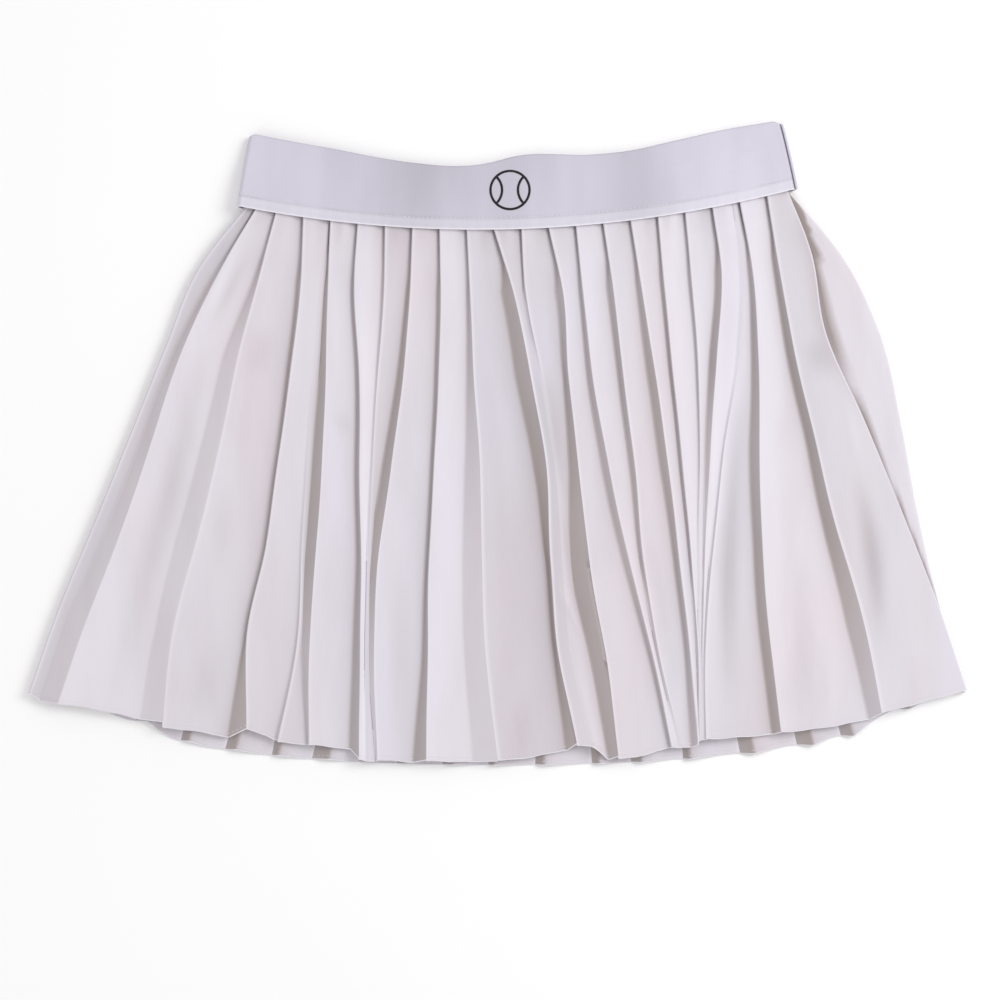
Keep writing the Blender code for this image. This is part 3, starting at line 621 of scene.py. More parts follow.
def front_surface(sizes):
    """Points and fields of the front panel."""
    shares = row_shares(sizes.rows)
    s = shares[:, None]
    ridge = through(STATIONS, [fold.ridge for fold in FRONT_FOLDS], shares) * MM
    ridge += SWAY[0] * sway(len(FRONT_FOLDS), shares) * smooth_step(s, *SWAY_START)
    lift = at_quarters("lift", shares) * MM
    laps = np.where(lift[0] > 0, LAP / MM, 0.0)
    laps[0] = SIDE_LAP / MM
    strip = shut_to_open(laps, np.array([fold.strip for fold in FRONT_FOLDS]), shares)
    hem = np.array([fold.hem for fold in FRONT_FOLDS]) * MM
    side_hem = np.array(SIDE_HEM) * MM
    floor = FRONT_FLOOR_AT_BAND + (FRONT_FLOOR - FRONT_FLOOR_AT_BAND) * release(shares)
    low, high = floor - SIDE_SINK, floor - SIDE_SINK + 2 * SIDE_RIM
    left, right = side_line(SIDE_LEFT, shares), side_line(SIDE_RIGHT, shares)

    section = Section()
    add_side(section, left, low, SIDE_RIM, 1, 6, side_hem[0], dark=0.3)
    # The first face starts with painted light -0.6 and a painted highlight of 0.6 at its edge
    start = (left + SIDE_RIM, high, side_hem[0], -0.6, 0.6)
    edge, height, edge_hem, last_light = knife_pleats(
        section, ridge, strip, lift, at_quarters("depth", shares), hem,
        at_quarters("tone", shares), floor, start, sizes.fold_radius)
    t = np.linspace(0.0, 1.0, LAST_FACE_POINTS)[1:]
    end = right - SIDE_RIM
    face_x = edge[:, None] + (end - edge)[:, None] * t
    from_edge = (face_x - edge[:, None]) / MM
    # Painted shade on the last face beside the right edge, near the band
    side_shade = RIGHT_SHADE * np.exp((face_x - end[:, None]) / RIGHT_SHADE_WIDTH)
    side_shade *= smooth_step(s, 0.0, 0.1) * (1 - smooth_step(s, 0.25, 0.5))
    section.add(x=face_x, z=high[:, None] + (height - high)[:, None] * fall(t, 0.0),
                shade=side_shade, edge=np.exp(-from_edge ** 2),
                tone=last_light * smooth_step(from_edge, 0.0, 2.0),
                face=np.sin(np.pi * t) ** FACE_POWER,
                down=edge_hem + (side_hem[1] - edge_hem) * t)
    add_side(section, right, low, SIDE_RIM, -1, 6, side_hem[1], dark=0.5)

    x, face = section.grid("x"), section.grid("face")
    free = release(s) * face
    soft = crease_field(FRONT_CREASES, x, shares)
    z = section.grid("z") - free * (soft - DRIFT[0] * drift(x, shares))
    z = np.maximum(z, floor[:, None] - 0.5 * MM)
    scallop = SCALLOP * np.sin(SCALLOP_RATE * x[-1]) * face[-1]
    y = (1 - s) * lip_line(x[0]) + s * (section.grid("down") + scallop)
    # Painted shade in the creases' troughs and painted shadows of the gathers under the band; the
    # creases also take painted light off the faces
    hollow = np.clip(soft / MM, -2.0, 2.0) * free
    gather_shadow = np.exp(-s / GATHER_END) * (0.5 + 0.5 * np.sin(310 * x + 5 * np.sin(60 * x)))
    shade = section.grid("shade") + HOLLOW_SHADE * np.maximum(hollow, 0)
    shade = np.clip(shade + GATHER_SHADE * gather_shadow * face, 0.0, 1.0)
    tone = np.clip(section.grid("tone") - HOLLOW_PAINTED_LIGHT * hollow, -1.0, 1.0)
    fields = {"shade": shade, "edge": section.grid("edge"), "tone": 0.5 + 0.5 * tone}
    return tuck_in(np.stack((x, y, z), axis=-1), fields)


def back_surface(sizes):
    """Points and fields of the back panel, made as seen from behind and then turned over."""
    shares = row_shares(sizes.rows - 10)
    s = shares[:, None]
    hem_x, bow, strips = (np.array(column) for column in zip(*BACK_FOLDS))
    count = len(BACK_FOLDS)
    waist = BACK_FIRST_FOLD + np.arange(count) * PLEAT_PITCH
    ridge = (waist + (hem_x - waist) * s + bow * np.sin(np.pi * s)) * MM
    ridge += SWAY[1] * sway(count, shares) * smooth_step(s, *SWAY_START)
    opened = BACK_STRIP_TOP + (strips[:, None] - BACK_STRIP_TOP) * STATIONS[1:]
    strip = shut_to_open(np.full(count, LAP / MM), opened, shares)
    ease = release(s)
    lift = SHUT_HEIGHT + (BACK_LIFT - SHUT_HEIGHT) * ease + np.zeros_like(ridge)
    top, floor = lift[:, 0], np.zeros_like(shares)
    swell, right_side = side_line(SWELL_RIGHT, shares), side_line(SIDE_RIGHT, shares)
    left, right = -swell, -side_line(SIDE_LEFT, shares)
    left_hem, right_hem = back_hem(-left[-1]), back_hem(right[-1])
    hem = np.repeat(back_hem(-hem_x * MM)[:, None], 3, axis=1)

    section = Section()
    turned_in = swell - right_side + SEAM_TUCK
    rim = top / 2
    inner = np.linspace(1.0, 0.0, 6)[:-1]
    section.add(x=(left + rim)[:, None] + (turned_in - rim)[:, None] * inner, down=left_hem)
    add_side(section, left, floor, rim[:, None], 1, 7, left_hem)
    pad = np.linspace(0.0, 1.0, 25)[1:]
    pad_end = turned_in + 4 * MM
    section.add(x=(left + rim)[:, None] + (pad_end - rim)[:, None] * pad, z=top[:, None],
                down=left_hem)
    start = (left + pad_end, top, left_hem, 0.0, 0.0)
    edge, height, edge_hem, _ = knife_pleats(
        section, ridge, strip, lift, np.full_like(ridge, BACK_STRIP_SHADE), hem,
        np.zeros_like(ridge), floor, start, sizes.fold_radius)
    t = np.linspace(0.0, 1.0, 12)[1:]
    rim = height / 2
    section.add(x=edge[:, None] + (right - rim - edge)[:, None] * t, z=height[:, None],
                face=np.sin(np.pi * t) ** FACE_POWER, down=edge_hem + (right_hem - edge_hem) * t)
    add_side(section, right, floor, rim[:, None], -1, 7, right_hem)
    section.add(x=(right - rim)[:, None] - (SEAM_TUCK - rim)[:, None] * inner[::-1],
                down=right_hem)

    x = section.grid("x")
    soft = crease_field(BACK_CREASES, x, shares) - DRIFT[1] * drift(x, shares)
    z = np.clip(section.grid("z") - ease * section.grid("face") * soft, 0.0, top[:, None])
    z = BACK_FLOOR + (BACK_FLOOR_AT_BAND - BACK_FLOOR) * (1 - ease) + top[:, None] - z
    x = -x
    y = (1 - s) * lip_line(x[0]) + s * section.grid("down")
    # Painted shadow on the back just past the front's right edge
    past = x - right_side[:, None]
    gaps = [smooth_step(past, -2 * MM, 0.0) * (1 - smooth_step(past, fade * MM, end * MM))
            * (1 - smooth_step(s, fade_share, end_share))
            for fade, end, fade_share, end_share in RIGHT_GAPS]
    shade = np.clip(np.maximum.reduce([section.grid("shade"), *gaps]), 0.0, 1.0)
    fields = {"shade": shade, "edge": section.grid("edge"),
              "tone": 0.55 + 0.5 * section.grid("tone")}
    return tuck_in(np.stack((x, y, z), axis=-1)[:, ::-1],
                   {name: value[:, ::-1] for name, value in fields.items()})


def tuck_in(grid, fields):
    """Add the row of cloth under the band, level with the first row."""
    first = grid[:1].copy()
    first[..., 1] += TUCK
    grid = np.concatenate((first, grid))
    return grid, {name: np.concatenate((value[:1], value)) for name, value in fields.items()}


def arc_lengths(grid):
    """Distance along the rows and down the columns of a grid, as two grids."""
    across = np.linalg.norm(np.diff(grid, axis=1), axis=-1)
    down = np.linalg.norm(np.diff(grid, axis=0), axis=-1)
    u = np.concatenate((np.zeros((len(grid), 1)), np.cumsum(across, axis=1)), axis=1)
    v = np.concatenate((np.zeros((1, grid.shape[1])), np.cumsum(down, axis=0)))
    return u, v


def grid_quads(rows, columns, wrap=False):
    """Corner numbers of the faces between neighbouring points of a grid, turned to face up.

    Rows run towards -Y and columns towards +X. With `wrap` the last column joins the first.
    """
    index = np.arange(rows * columns).reshape(rows, columns)
    if wrap:
        index = np.concatenate((index, index[:, :1]), axis=1)
    quads = np.stack((index[:-1, :-1], index[1:, :-1], index[1:, 1:], index[:-1, 1:]), axis=-1)
    return quads.reshape(-1, 4)


def new_piece(name, points, faces, material, fields=None, uv=None, smooth=True):
    """Make an object at the origin from points and four-cornered faces given as arrays."""
    mesh = bpy.data.meshes.new(name)
    mesh.from_pydata(points.reshape(-1, 3), [], faces)
    mesh.update()
    for label, values in (fields or {}).items():
        layer = mesh.attributes.new(label, "FLOAT", "POINT")
        layer.data.foreach_set("value", np.ascontiguousarray(values, np.float32).ravel())
    if uv is not None:
        corners = np.asarray(faces).ravel()
        layer = mesh.uv_layers.new(name="cloth")
        pairs = np.stack([plane.ravel()[corners] for plane in uv], axis=-1)
        layer.data.foreach_set("uv", pairs.astype(np.float32).ravel())
    if smooth:
        mesh.shade_smooth()
    mesh.materials.append(material)
    piece = bpy.data.objects.new(name, mesh)
    bpy.context.scene.collection.objects.link(piece)
    return piece


def give_wall(piece, thickness):
    """Turn a surface into a closed shell, half of its thickness on each side."""
    wall = piece.modifiers.new("Wall", "SOLIDIFY")
    wall.thickness = thickness
    wall.offset = 0.0


def tube_along(path, radius, sides, squeeze=1.0):
    """Rings of points round a path, each in the plane across it.

    Ring point k stands at path + r (cos(k) across + squeeze sin(k) up), with `across` level.
    """
    along = np.gradient(path, axis=0)
    along /= np.linalg.norm(along, axis=1)[:, None]
    across = np.cross(along, (0.0, 0.0, 1.0))
    across /= np.maximum(np.linalg.norm(across, axis=1), 1e-6)[:, None]
    up = np.cross(across, along)
    angle = np.arange(sides) * 2 * np.pi / sides
    ring = np.cos(angle)[None, :, None] * across[:, None]
    ring = ring + squeeze * np.sin(angle)[None, :, None] * up[:, None]
    return path[:, None] + np.asarray(radius).reshape(-1, 1, 1) * ring


def beads(places, along, length, radius, up):
    """Many short capsules in one mesh, each along its own direction.

    A capsule has six rings of six points: ring j has radius r sin(pi j / 5) to a power of 0.6,
    so that its middle is nearly straight, and its ends are closed to points.
    """
    rings, sides = 6, 6
    j = np.linspace(0.0, 1.0, rings)
    swell = np.maximum(np.sin(np.pi * j), 0.0) ** 0.6
    swell[[0, -1]] = 0.02
    angle = np.arange(sides) * 2 * np.pi / sides
    side = np.cross(along, up)
    side /= np.linalg.norm(side, axis=1)[:, None]
    rise = np.cross(side, along)
    centre = places[:, None] + along[:, None] * (length * (j - 0.5))[None, :, None]
    ring = side[:, None, None] * np.cos(angle)[None, None, :, None]
    ring = ring + rise[:, None, None] * np.sin(angle)[None, None, :, None]
    points = centre[:, :, None] + radius * swell[None, :, None, None] * ring
    quads = grid_quads(rings, sides, wrap=True)
    step = rings * sides
    caps = np.array(((0, 1, 2, 3), (3, 4, 5, 0)))
    ends = np.concatenate((caps[:, ::-1], caps + step - sides))
    faces = np.concatenate((quads, ends))[None] + (np.arange(len(places)) * step)[:, None, None]
    return points.reshape(-1, 3), faces.reshape(-1, 4)


def band_height(x):
    """Height of the band at x."""
    along, heights = np.array(BAND_HEIGHTS).T * MM
    return through(along, heights, np.ravel(x))[:, 0].reshape(np.shape(x))


def band_level(share):
    """Height of the front band's middle: level over the pleats, then down to its upper edge."""
    lap = BAND_LAP / BAND_HEIGHT
    fallen = smooth_step(share, lap * 0.6, 1.25) / smooth_step(1.0, lap * 0.6, 1.25)
    return FRONT_BAND_LEVEL + (BAND_TOP_LEVEL - FRONT_BAND_LEVEL) * fallen


def stitch_pull(x):
    """How tight the line of stitches is drawn along the band, -1 to 1: a slow sine on a slower."""
    return np.sin(61 * x + 1.3) * np.sin(173 * x)


def stitch_height(x):
    """Height of the line of stitches over the band's lower edge: it wanders by half a mm."""
    return TOPSTITCH + 0.5 * MM * np.sin(19 * x + 0.6)


def band_relief(x, share):
    """Small heights on the front band: stitched groove, welt, puckers, ribs, waves and dents.

    The groove is a Gauss curve along the line of stitches, deeper and shallower by a slow sine.
    Below it the seam swells to a welt, and puckers are short sines across it that fade upwards.
    """
    up = share * band_height(x)
    groove = -GROOVE_DEPTH * np.exp(-((up - stitch_height(x)) / GROOVE_WIDTH) ** 2)
    groove *= 0.7 + 0.3 * stitch_pull(x)
    welt = WELT_HEIGHT * np.exp(-((up - WELT_MIDDLE) / WELT_WIDTH) ** 2)
    pucker = PUCKER_HEIGHT * np.sin(870 * x + 2 * np.sin(90 * x)) * np.exp(-up / PUCKER_FADE)
    ribs = RIB_HEIGHT * np.sin(2 * np.pi * up / RIB_PITCH)
    waves = WAVE_HEIGHT * np.sin(31 * x + 0.4) * smooth_step(up, *WAVE_START)
    dents = np.zeros_like(up)
    for x0, up0, wide, tall, deep in BAND_DENTS:
        away = ((x - x0 * MM) / (wide * MM)) ** 2 + ((up - up0 * MM) / (tall * MM)) ** 2
        dents -= deep * MM * np.exp(-away)
    return groove + welt + pucker + ribs + waves + dents


def front_band_fields(x, share):
    """Fields of the front band: painted shade along it, in its stitched groove and at its right end,
    painted highlights on the welt and the lower edge.
    """
    up = share * band_height(x)
    along, factor = np.array(BAND_PAINTED_LIGHT).T
    # Painted shade in the stitched groove
    seam = 0.22 * np.exp(-((up - TOPSTITCH) / (0.7 * MM)) ** 2) * (0.55 + 0.45 * stitch_pull(x))
    # Painted shade at the right end, where the two halves of the band meet
    end = 0.3 * np.exp(-(x[:, -1:] - x) / (1.0 * MM))
    # Painted highlights: on the raised welt below the stitches and on the rolled lower edge
    welt = 0.225 * (1 - smooth_step(up, TOPSTITCH - 2 * MM, TOPSTITCH))
    lip_highlight = 0.95 * np.exp(-(up / (0.9 * MM)) ** 2)
    # Painted shade along the band, a little darker towards its upper edge
    return {"tone": np.interp(x, along * MM, factor) + 0.02 - 0.04 * share,
            "shade": seam + end, "edge": np.maximum(lip_highlight, welt)}


def seam_level(share, above):
    """Height at which an end of a band half stops, `above` the middle between the halves."""
    return (band_level(share) + BACK_BAND_LEVEL) / 2 + above


def band_grid(columns, rows, level, ends, reach):
    """Points of one half of the band, upper edge first.

    Each row is level, and at its two ends the elastic turns on a quarter circle of BAND_CORNER
    and runs straight to the height in `ends`. `reach` moves the right end out.
    """
    share = np.linspace(1.0, 0.0, rows)[:, None] ** 1.5
    left = BAND_LEFT[0] + (BAND_LEFT[1] - BAND_LEFT[0]) * share
    right = BAND_RIGHT[0] + (BAND_RIGHT[1] - BAND_RIGHT[0]) * share + reach
    z = level(share)
    end_left, end_right = (end(share) for end in ends)
    turn = np.linspace(0.5 * np.pi, 0.0, 5)
    flat = np.linspace(0.0, 1.0, columns)
    x_flat = left + BAND_CORNER + (right - left - 2 * BAND_CORNER) * flat
    out = BAND_CORNER * (1 - np.sin(turn))
    drop = BAND_CORNER * (1 - np.cos(turn))
    x = np.concatenate((left, left + out, x_flat, right - out[::-1], right), axis=1)
    sign_left, sign_right = np.sign(end_left - z), np.sign(end_right - z)
    turned_left = (z + sign_left * BAND_CORNER) - sign_left * drop[::-1]
    turned_right = (z + sign_right * BAND_CORNER) - sign_right * drop
    z = np.concatenate((end_left, turned_left, z + 0 * x_flat, turned_right, end_right), axis=1)
    rounded = BAND_TOP_CORNER * share ** 8
    inner = np.clip(np.minimum(x - left, right - x) / BAND_TOP_CORNER, 0.0, 1.0)
    y = lip_line(x) + share * band_height(x) - rounded * 0.5 * (1 - inner) ** 2
    return np.stack((x, y, z), axis=-1), share + 0 * x


def new_group(name, inputs, outputs):
    """An empty shader node group with named sockets, and its input and output nodes."""
    group = bpy.data.node_groups.new(name, "ShaderNodeTree")
    for label, kind, value in inputs:
        socket = group.interface.new_socket(label, in_out="INPUT", socket_type=kind)
        if value is not None:
            socket.default_value = value
    for label, kind in outputs:
        group.interface.new_socket(label, in_out="OUTPUT", socket_type=kind)
    return group, group.nodes.new("NodeGroupInput"), group.nodes.new("NodeGroupOutput")


def feed(tree, socket, value):
    """Link a socket into another one, or set its number, colour or vector."""
    if isinstance(value, bpy.types.NodeSocket):
        tree.links.new(value, socket)
    elif socket.type == "RGBA":
        socket.default_value = (*value, 1.0)
    else:
        socket.default_value = value


def math_node(tree, operation, *values):
    """A Math node. Each value is a number or a socket, here and in the functions below."""
    node = tree.nodes.new("ShaderNodeMath")
    node.operation = operation
    for socket, value in zip(node.inputs, values):
        feed(tree, socket, value)
    return node.outputs[0]


def mix_node(tree, factor, first, second):
    """A Mix node for two colours."""
    node = tree.nodes.new("ShaderNodeMix")
    node.data_type = "RGBA"
    for name, value in (("Factor_Float", factor), ("A_Color", first), ("B_Color", second)):
        feed(tree, next(item for item in node.inputs if item.identifier == name), value)
    return next(item for item in node.outputs if item.identifier == "Result_Color")


def noise_node(tree, vector, scale, detail):
    """A Noise Texture read at a vector."""
    node = tree.nodes.new("ShaderNodeTexNoise")
    for name, value in (("Vector", vector), ("Scale", scale), ("Detail", detail)):
        feed(tree, node.inputs[name], value)
    return node.outputs["Fac"]


def stretched(tree, vector, scale):
    """A Mapping node that scales a vector on each axis."""
    node = tree.nodes.new("ShaderNodeMapping")
    feed(tree, node.inputs["Vector"], vector)
    feed(tree, node.inputs["Scale"], scale)
    return node.outputs["Vector"]


def ranged(tree, value, source=(0.0, 1.0), target=(0.0, 1.0)):
    """A Map Range node from one range to another, held to its ends."""
    node = tree.nodes.new("ShaderNodeMapRange")
    limits = ("From Min", "From Max", "To Min", "To Max")
    for name, number in zip(("Value", *limits), (value, *source, *target)):
        feed(tree, node.inputs[name], number)
    return node.outputs["Result"]


def thread_group():
    """Group "Thread grain": height of crossed threads on a UV map in metres.

    The height is |sin(pi u / p)| + |sin(pi v / p)|, halved, with the threads' p as pitch.
    """
    group, entry, leave = new_group(
        "Thread grain",
        [("Vector", "NodeSocketVector", None), ("Pitch", "NodeSocketFloat", 0.6 * MM)],
        [("Height", "NodeSocketFloat")])
    parts = group.nodes.new("ShaderNodeSeparateXYZ")
    group.links.new(entry.outputs["Vector"], parts.inputs[0])
    waves = []
    for axis in ("X", "Y"):
        turns = math_node(group, "DIVIDE", parts.outputs[axis], entry.outputs["Pitch"])
        phase = math_node(group, "MULTIPLY", turns, float(np.pi))
        waves.append(math_node(group, "ABSOLUTE", math_node(group, "SINE", phase)))
    both = math_node(group, "ADD", waves[0], waves[1])
    group.links.new(math_node(group, "MULTIPLY", both, 0.5), leave.inputs["Height"])
    return group


def dye_group():
    """Group "Dye drift": two near whites mixed by slow noise, stretched along the cloth."""
    group, entry, leave = new_group(
        "Dye drift",
        [("Vector", "NodeSocketVector", None), ("Scale", "NodeSocketFloat", 14.0),
         ("Cool", "NodeSocketColor", (1, 1, 1, 1)), ("Warm", "NodeSocketColor", (1, 1, 1, 1))],
        [("Colour", "NodeSocketColor")])
    noise = noise_node(group, entry.outputs["Vector"], entry.outputs["Scale"], 3.0)
    mask = ranged(group, noise, source=(0.34, 0.66))
    colour = mix_node(group, mask, entry.outputs["Cool"], entry.outputs["Warm"])
    group.links.new(colour, leave.inputs["Colour"])
    return group


def new_material(name, roughness, sheen=0.0):
    """A Principled material, its node tree, its shader and its texture coordinates."""
    material = bpy.data.materials.new(name)
    material.use_nodes = True
    shader = material.node_tree.nodes["Principled BSDF"]
    shader.inputs["Roughness"].default_value = roughness
    shader.inputs["Sheen Weight"].default_value = sheen
    shader.inputs["Sheen Roughness"].default_value = 0.5
    shader.inputs["Specular IOR Level"].default_value = 0.3
    place = material.node_tree.nodes.new("ShaderNodeTexCoord").outputs
    return material, material.node_tree, shader, place


def placed(tree, group, **values):
    """First output of a node group placed in a tree with its own values."""
    node = tree.nodes.new("ShaderNodeGroup")
    node.node_tree = group
    for name, value in values.items():
        feed(tree, node.inputs[name], value)
    return node.outputs[0]


def bump_chain(tree, shader, *layers):
    """Bump nodes one after another, each (height, distance, strength), into the shader."""
    normal = None
    for height, distance, strength in layers:
        node = tree.nodes.new("ShaderNodeBump")
        node.inputs["Distance"].default_value = distance
        node.inputs["Strength"].default_value = strength
        tree.links.new(height, node.inputs["Height"])
        if normal is not None:
            tree.links.new(normal, node.inputs["Normal"])
        normal = node.outputs["Normal"]
    tree.links.new(normal, shader.inputs["Normal"])


def attribute(tree, name):
    """Value of a mesh attribute."""
    node = tree.nodes.new("ShaderNodeAttribute")
    node.attribute_name = name
    return node.outputs["Fac"]


def scaled_colour(tree, colour, factor):
    """A colour times a factor."""
    node = tree.nodes.new("ShaderNodeVectorMath")
    node.operation = "SCALE"
    tree.links.new(colour, node.inputs[0])
    tree.links.new(factor, node.inputs["Scale"])
    return node.outputs[0]


def cloth_material(colours, groups):
    """Smooth white jersey: dye drift, painted shade inside the folds, painted highlights on their
    edges.
    """
    material, tree, shader, place = new_material("pleated_jersey", 0.72, sheen=0.12)
    long = stretched(tree, place["Object"], (1.0, 0.22, 1.0))
    dye = placed(tree, groups["dye"], Vector=long, Scale=16.0, Cool=colours.cool,
                 Warm=colours.warm)
    # Painted light and shade of each face
    lit_dye = scaled_colour(tree, dye, ranged(tree, attribute(tree, "tone"), target=(0.86, 1.18)))
    clouds = ranged(tree, noise_node(tree, long, 46.0, 4.0), (0.45, 0.75), (0.0, 0.22))
    uneven = mix_node(tree, clouds, lit_dye, (0.52, 0.46, 0.49))
    # Painted shade inside the folds and a painted highlight (0.84, 0.82, 0.87) along their edges
    dark = math_node(tree, "MULTIPLY", attribute(tree, "shade"), 0.9)
    light = math_node(tree, "MULTIPLY", attribute(tree, "edge"), 0.5)
    lit = mix_node(tree, light, mix_node(tree, dark, uneven, colours.shade), (0.84, 0.82, 0.87))
    tree.links.new(lit, shader.inputs["Base Color"])
    threads = placed(tree, groups["threads"], Vector=place["UV"], Pitch=0.42 * MM)
    crumple = noise_node(tree, stretched(tree, place["Object"], (1.0, 0.5, 1.0)), 55.0, 3.0)
    bump_chain(tree, shader, (crumple, 1.6 * MM, 0.35), (threads, 0.05 * MM, 0.5))
    return material


def elastic_material(colours, groups):
    """Knitted elastic: lilac white with painted shade, darker at the middle of the waist, fine ribs
    along it.
    """
    material, tree, shader, place = new_material("ribbed_elastic", 0.62, sheen=0.1)
    upright = stretched(tree, place["Object"], (1.0, 0.12, 1.0))
    dye = placed(tree, groups["dye"], Vector=upright, Scale=17.0,
                 Cool=tuple(min(1.0, value * 1.12) for value in colours.elastic),
                 Warm=tuple(value * 0.90 for value in colours.elastic))
    # Painted shade along the band
    shaded_elastic = scaled_colour(tree, dye, attribute(tree, "tone"))
    # Painted highlight (0.86, 0.84, 0.90) on the welt and lower edge, and painted shade in the
    # groove and at the right end
    highlighted_elastic = mix_node(tree, attribute(tree, "edge"), shaded_elastic, (0.86, 0.84, 0.90))
    shaded = mix_node(tree, attribute(tree, "shade"), highlighted_elastic, colours.shade)
    tree.links.new(shaded, shader.inputs["Base Color"])
    threads = placed(tree, groups["threads"], Vector=place["UV"], Pitch=0.7 * MM)
    crumple = noise_node(tree, place["Object"], 240.0, 3.0)
    bump_chain(tree, shader, (crumple, 0.3 * MM, 0.35), (threads, 0.10 * MM, 0.6))
    return material


def thread_material(colours):
    """Spun polyester thread with a slight gloss and a fine twist."""
    material, tree, shader, place = new_material("sewing_thread", 0.5, sheen=0.1)
    noise = noise_node(tree, place["Object"], 900.0, 2.0)
    darker = tuple(value * 0.82 for value in colours.thread)
    tree.links.new(mix_node(tree, noise, colours.thread, darker), shader.inputs["Base Color"])
    bump_chain(tree, shader, (noise, 0.1 * MM, 0.5))
    return material


def ink_material(colours):
    """Rubbery black ink, slightly worn through where the elastic's ribs stand up."""
    material, tree, shader, place = new_material("rubber_ink", 0.5)
    grain = noise_node(tree, place["Object"], 1500.0, 3.0)
    worn = math_node(tree, "MULTIPLY", math_node(tree, "GREATER_THAN", grain, 0.69), 0.35)
    tree.links.new(mix_node(tree, worn, colours.ink, colours.elastic),
                   shader.inputs["Base Color"])
    bump_chain(tree, shader, (grain, 0.05 * MM, 0.4))
    return material


def material_named(name):
    """The finish of that name, made with its groups when first asked for."""
    found = bpy.data.materials.get(name)
    if found is not None:
        return found
    colours = bpy.context.scene.skirt_colours
    if "Thread grain" not in bpy.data.node_groups:
        thread_group()
        dye_group()
    groups = {"threads": bpy.data.node_groups["Thread grain"],
              "dye": bpy.data.node_groups["Dye drift"]}
    makers = {
        "pleated_jersey": lambda: cloth_material(colours, groups),
        "ribbed_elastic": lambda: elastic_material(colours, groups),
        "sewing_thread": lambda: thread_material(colours),
        "rubber_ink": lambda: ink_material(colours),
    }
    return makers[name]()


def hem_line(grid, inset=0.0):
    """The hem of a panel as a path, or a path `inset` above it, with no point doubled."""
    path = grid[-1].copy()
    path[:, 1] += inset
    steps = np.linalg.norm(np.diff(path, axis=0), axis=1)
    return path[np.concatenate(([True], steps > 0.05 * MM))]


def lengths_along(path):
    """Distance of each point of a path from its start, along it."""
    return np.concatenate(([0.0], np.cumsum(np.linalg.norm(np.diff(path, axis=0), axis=1))))


def hem_roll(name, path, sizes):
    """A rolled hem: a thread-bound tube along the panel's lower edge, thin at its closed ends."""
    sides = 8
    radius = sizes.hem_roll * (1 + 0.10 * np.sin(lengths_along(path) / (1.1 * MM)))
    radius[[0, -1]] *= 0.1
    rings = tube_along(path, radius, sides, squeeze=0.9)
    caps = np.array(((0, 1, 2, 3), (3, 4, 5, 6), (6, 7, 0, 3)))
    faces = np.concatenate((grid_quads(len(path), sides, wrap=True), caps[:, ::-1],
                            caps + sides * (len(path) - 1)))
    return new_piece(name, rings, faces, material_named("sewing_thread"))


def stitch_row(name, path, rise, sizes, spacing):
    """A row of stitches: capsules set along a path every `spacing`, raised by `rise`.

    None is set where the path climbs a fold steeply.
    """
    place = lengths_along(path)
    at = np.arange(spacing, place[-1] - spacing, spacing)
    middle, ahead = (np.stack([np.interp(where, place, path[:, axis]) for axis in range(3)], axis=1)
                     for where in (at, at + 0.3 * spacing))
    along = ahead - middle
    along /= np.linalg.norm(along, axis=1)[:, None]
    middle[:, 2] += rise
    level = np.abs(along[:, 2]) < 0.3
    up = np.tile((0.0, 0.0, 1.0), (level.sum(), 1))
    points, faces = beads(middle[level], along[level], sizes.stitch, sizes.thread, up)
    return new_piece(name, points, faces, material_named("sewing_thread"))


def finish_part(piece, slot, *nodes):
    """Fix a piece to the skirt's one body and hide the nodes it stands for. `slot` is not used."""
    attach(piece, "root")
    if nodes:
        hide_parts(*nodes)


def hemmed_panel(side, grid, fields, sizes, rests_on):
    """One panel of pleated cloth, its rolled hem and the stitches over it."""
    cloth = new_piece(side + "_cloth", grid, grid_quads(*grid.shape[:2]),
                      material_named("pleated_jersey"), fields, arc_lengths(grid))
    give_wall(cloth, sizes.cloth)
    roll = hem_roll(side + "_hem_roll", hem_line(grid), sizes)
    stitches = stitch_row(side + "_hem_stitches", hem_line(grid, HEM_INSET),
                          sizes.cloth / 2 + sizes.thread * 0.4, sizes, HEM_SPACING)
    finish_part(cloth, "pleated_cloth", side + "_panel")
    finish_part(roll, "pleated_cloth")
    finish_part(stitches, "pleated_cloth")


class SKIRT_OT_front(bpy.types.Operator):
    """Make the pleated front panel with its rolled and stitched hem"""

    bl_idname = "skirt.front_panel"
    bl_label = "Front panel"

    def execute(self, context):
        sizes = context.scene.skirt_sizes
        hemmed_panel("front", *front_surface(sizes), sizes, "back_cloth")
        return {"FINISHED"}


class SKIRT_OT_back(bpy.types.Operator):
    """Make the pleated back panel, which lies under the front, with its hem"""

    bl_idname = "skirt.back_panel"
    bl_label = "Back panel"

    def execute(self, context):
        sizes = context.scene.skirt_sizes
        hemmed_panel("back", *back_surface(sizes), sizes, "table")
        return {"FINISHED"}


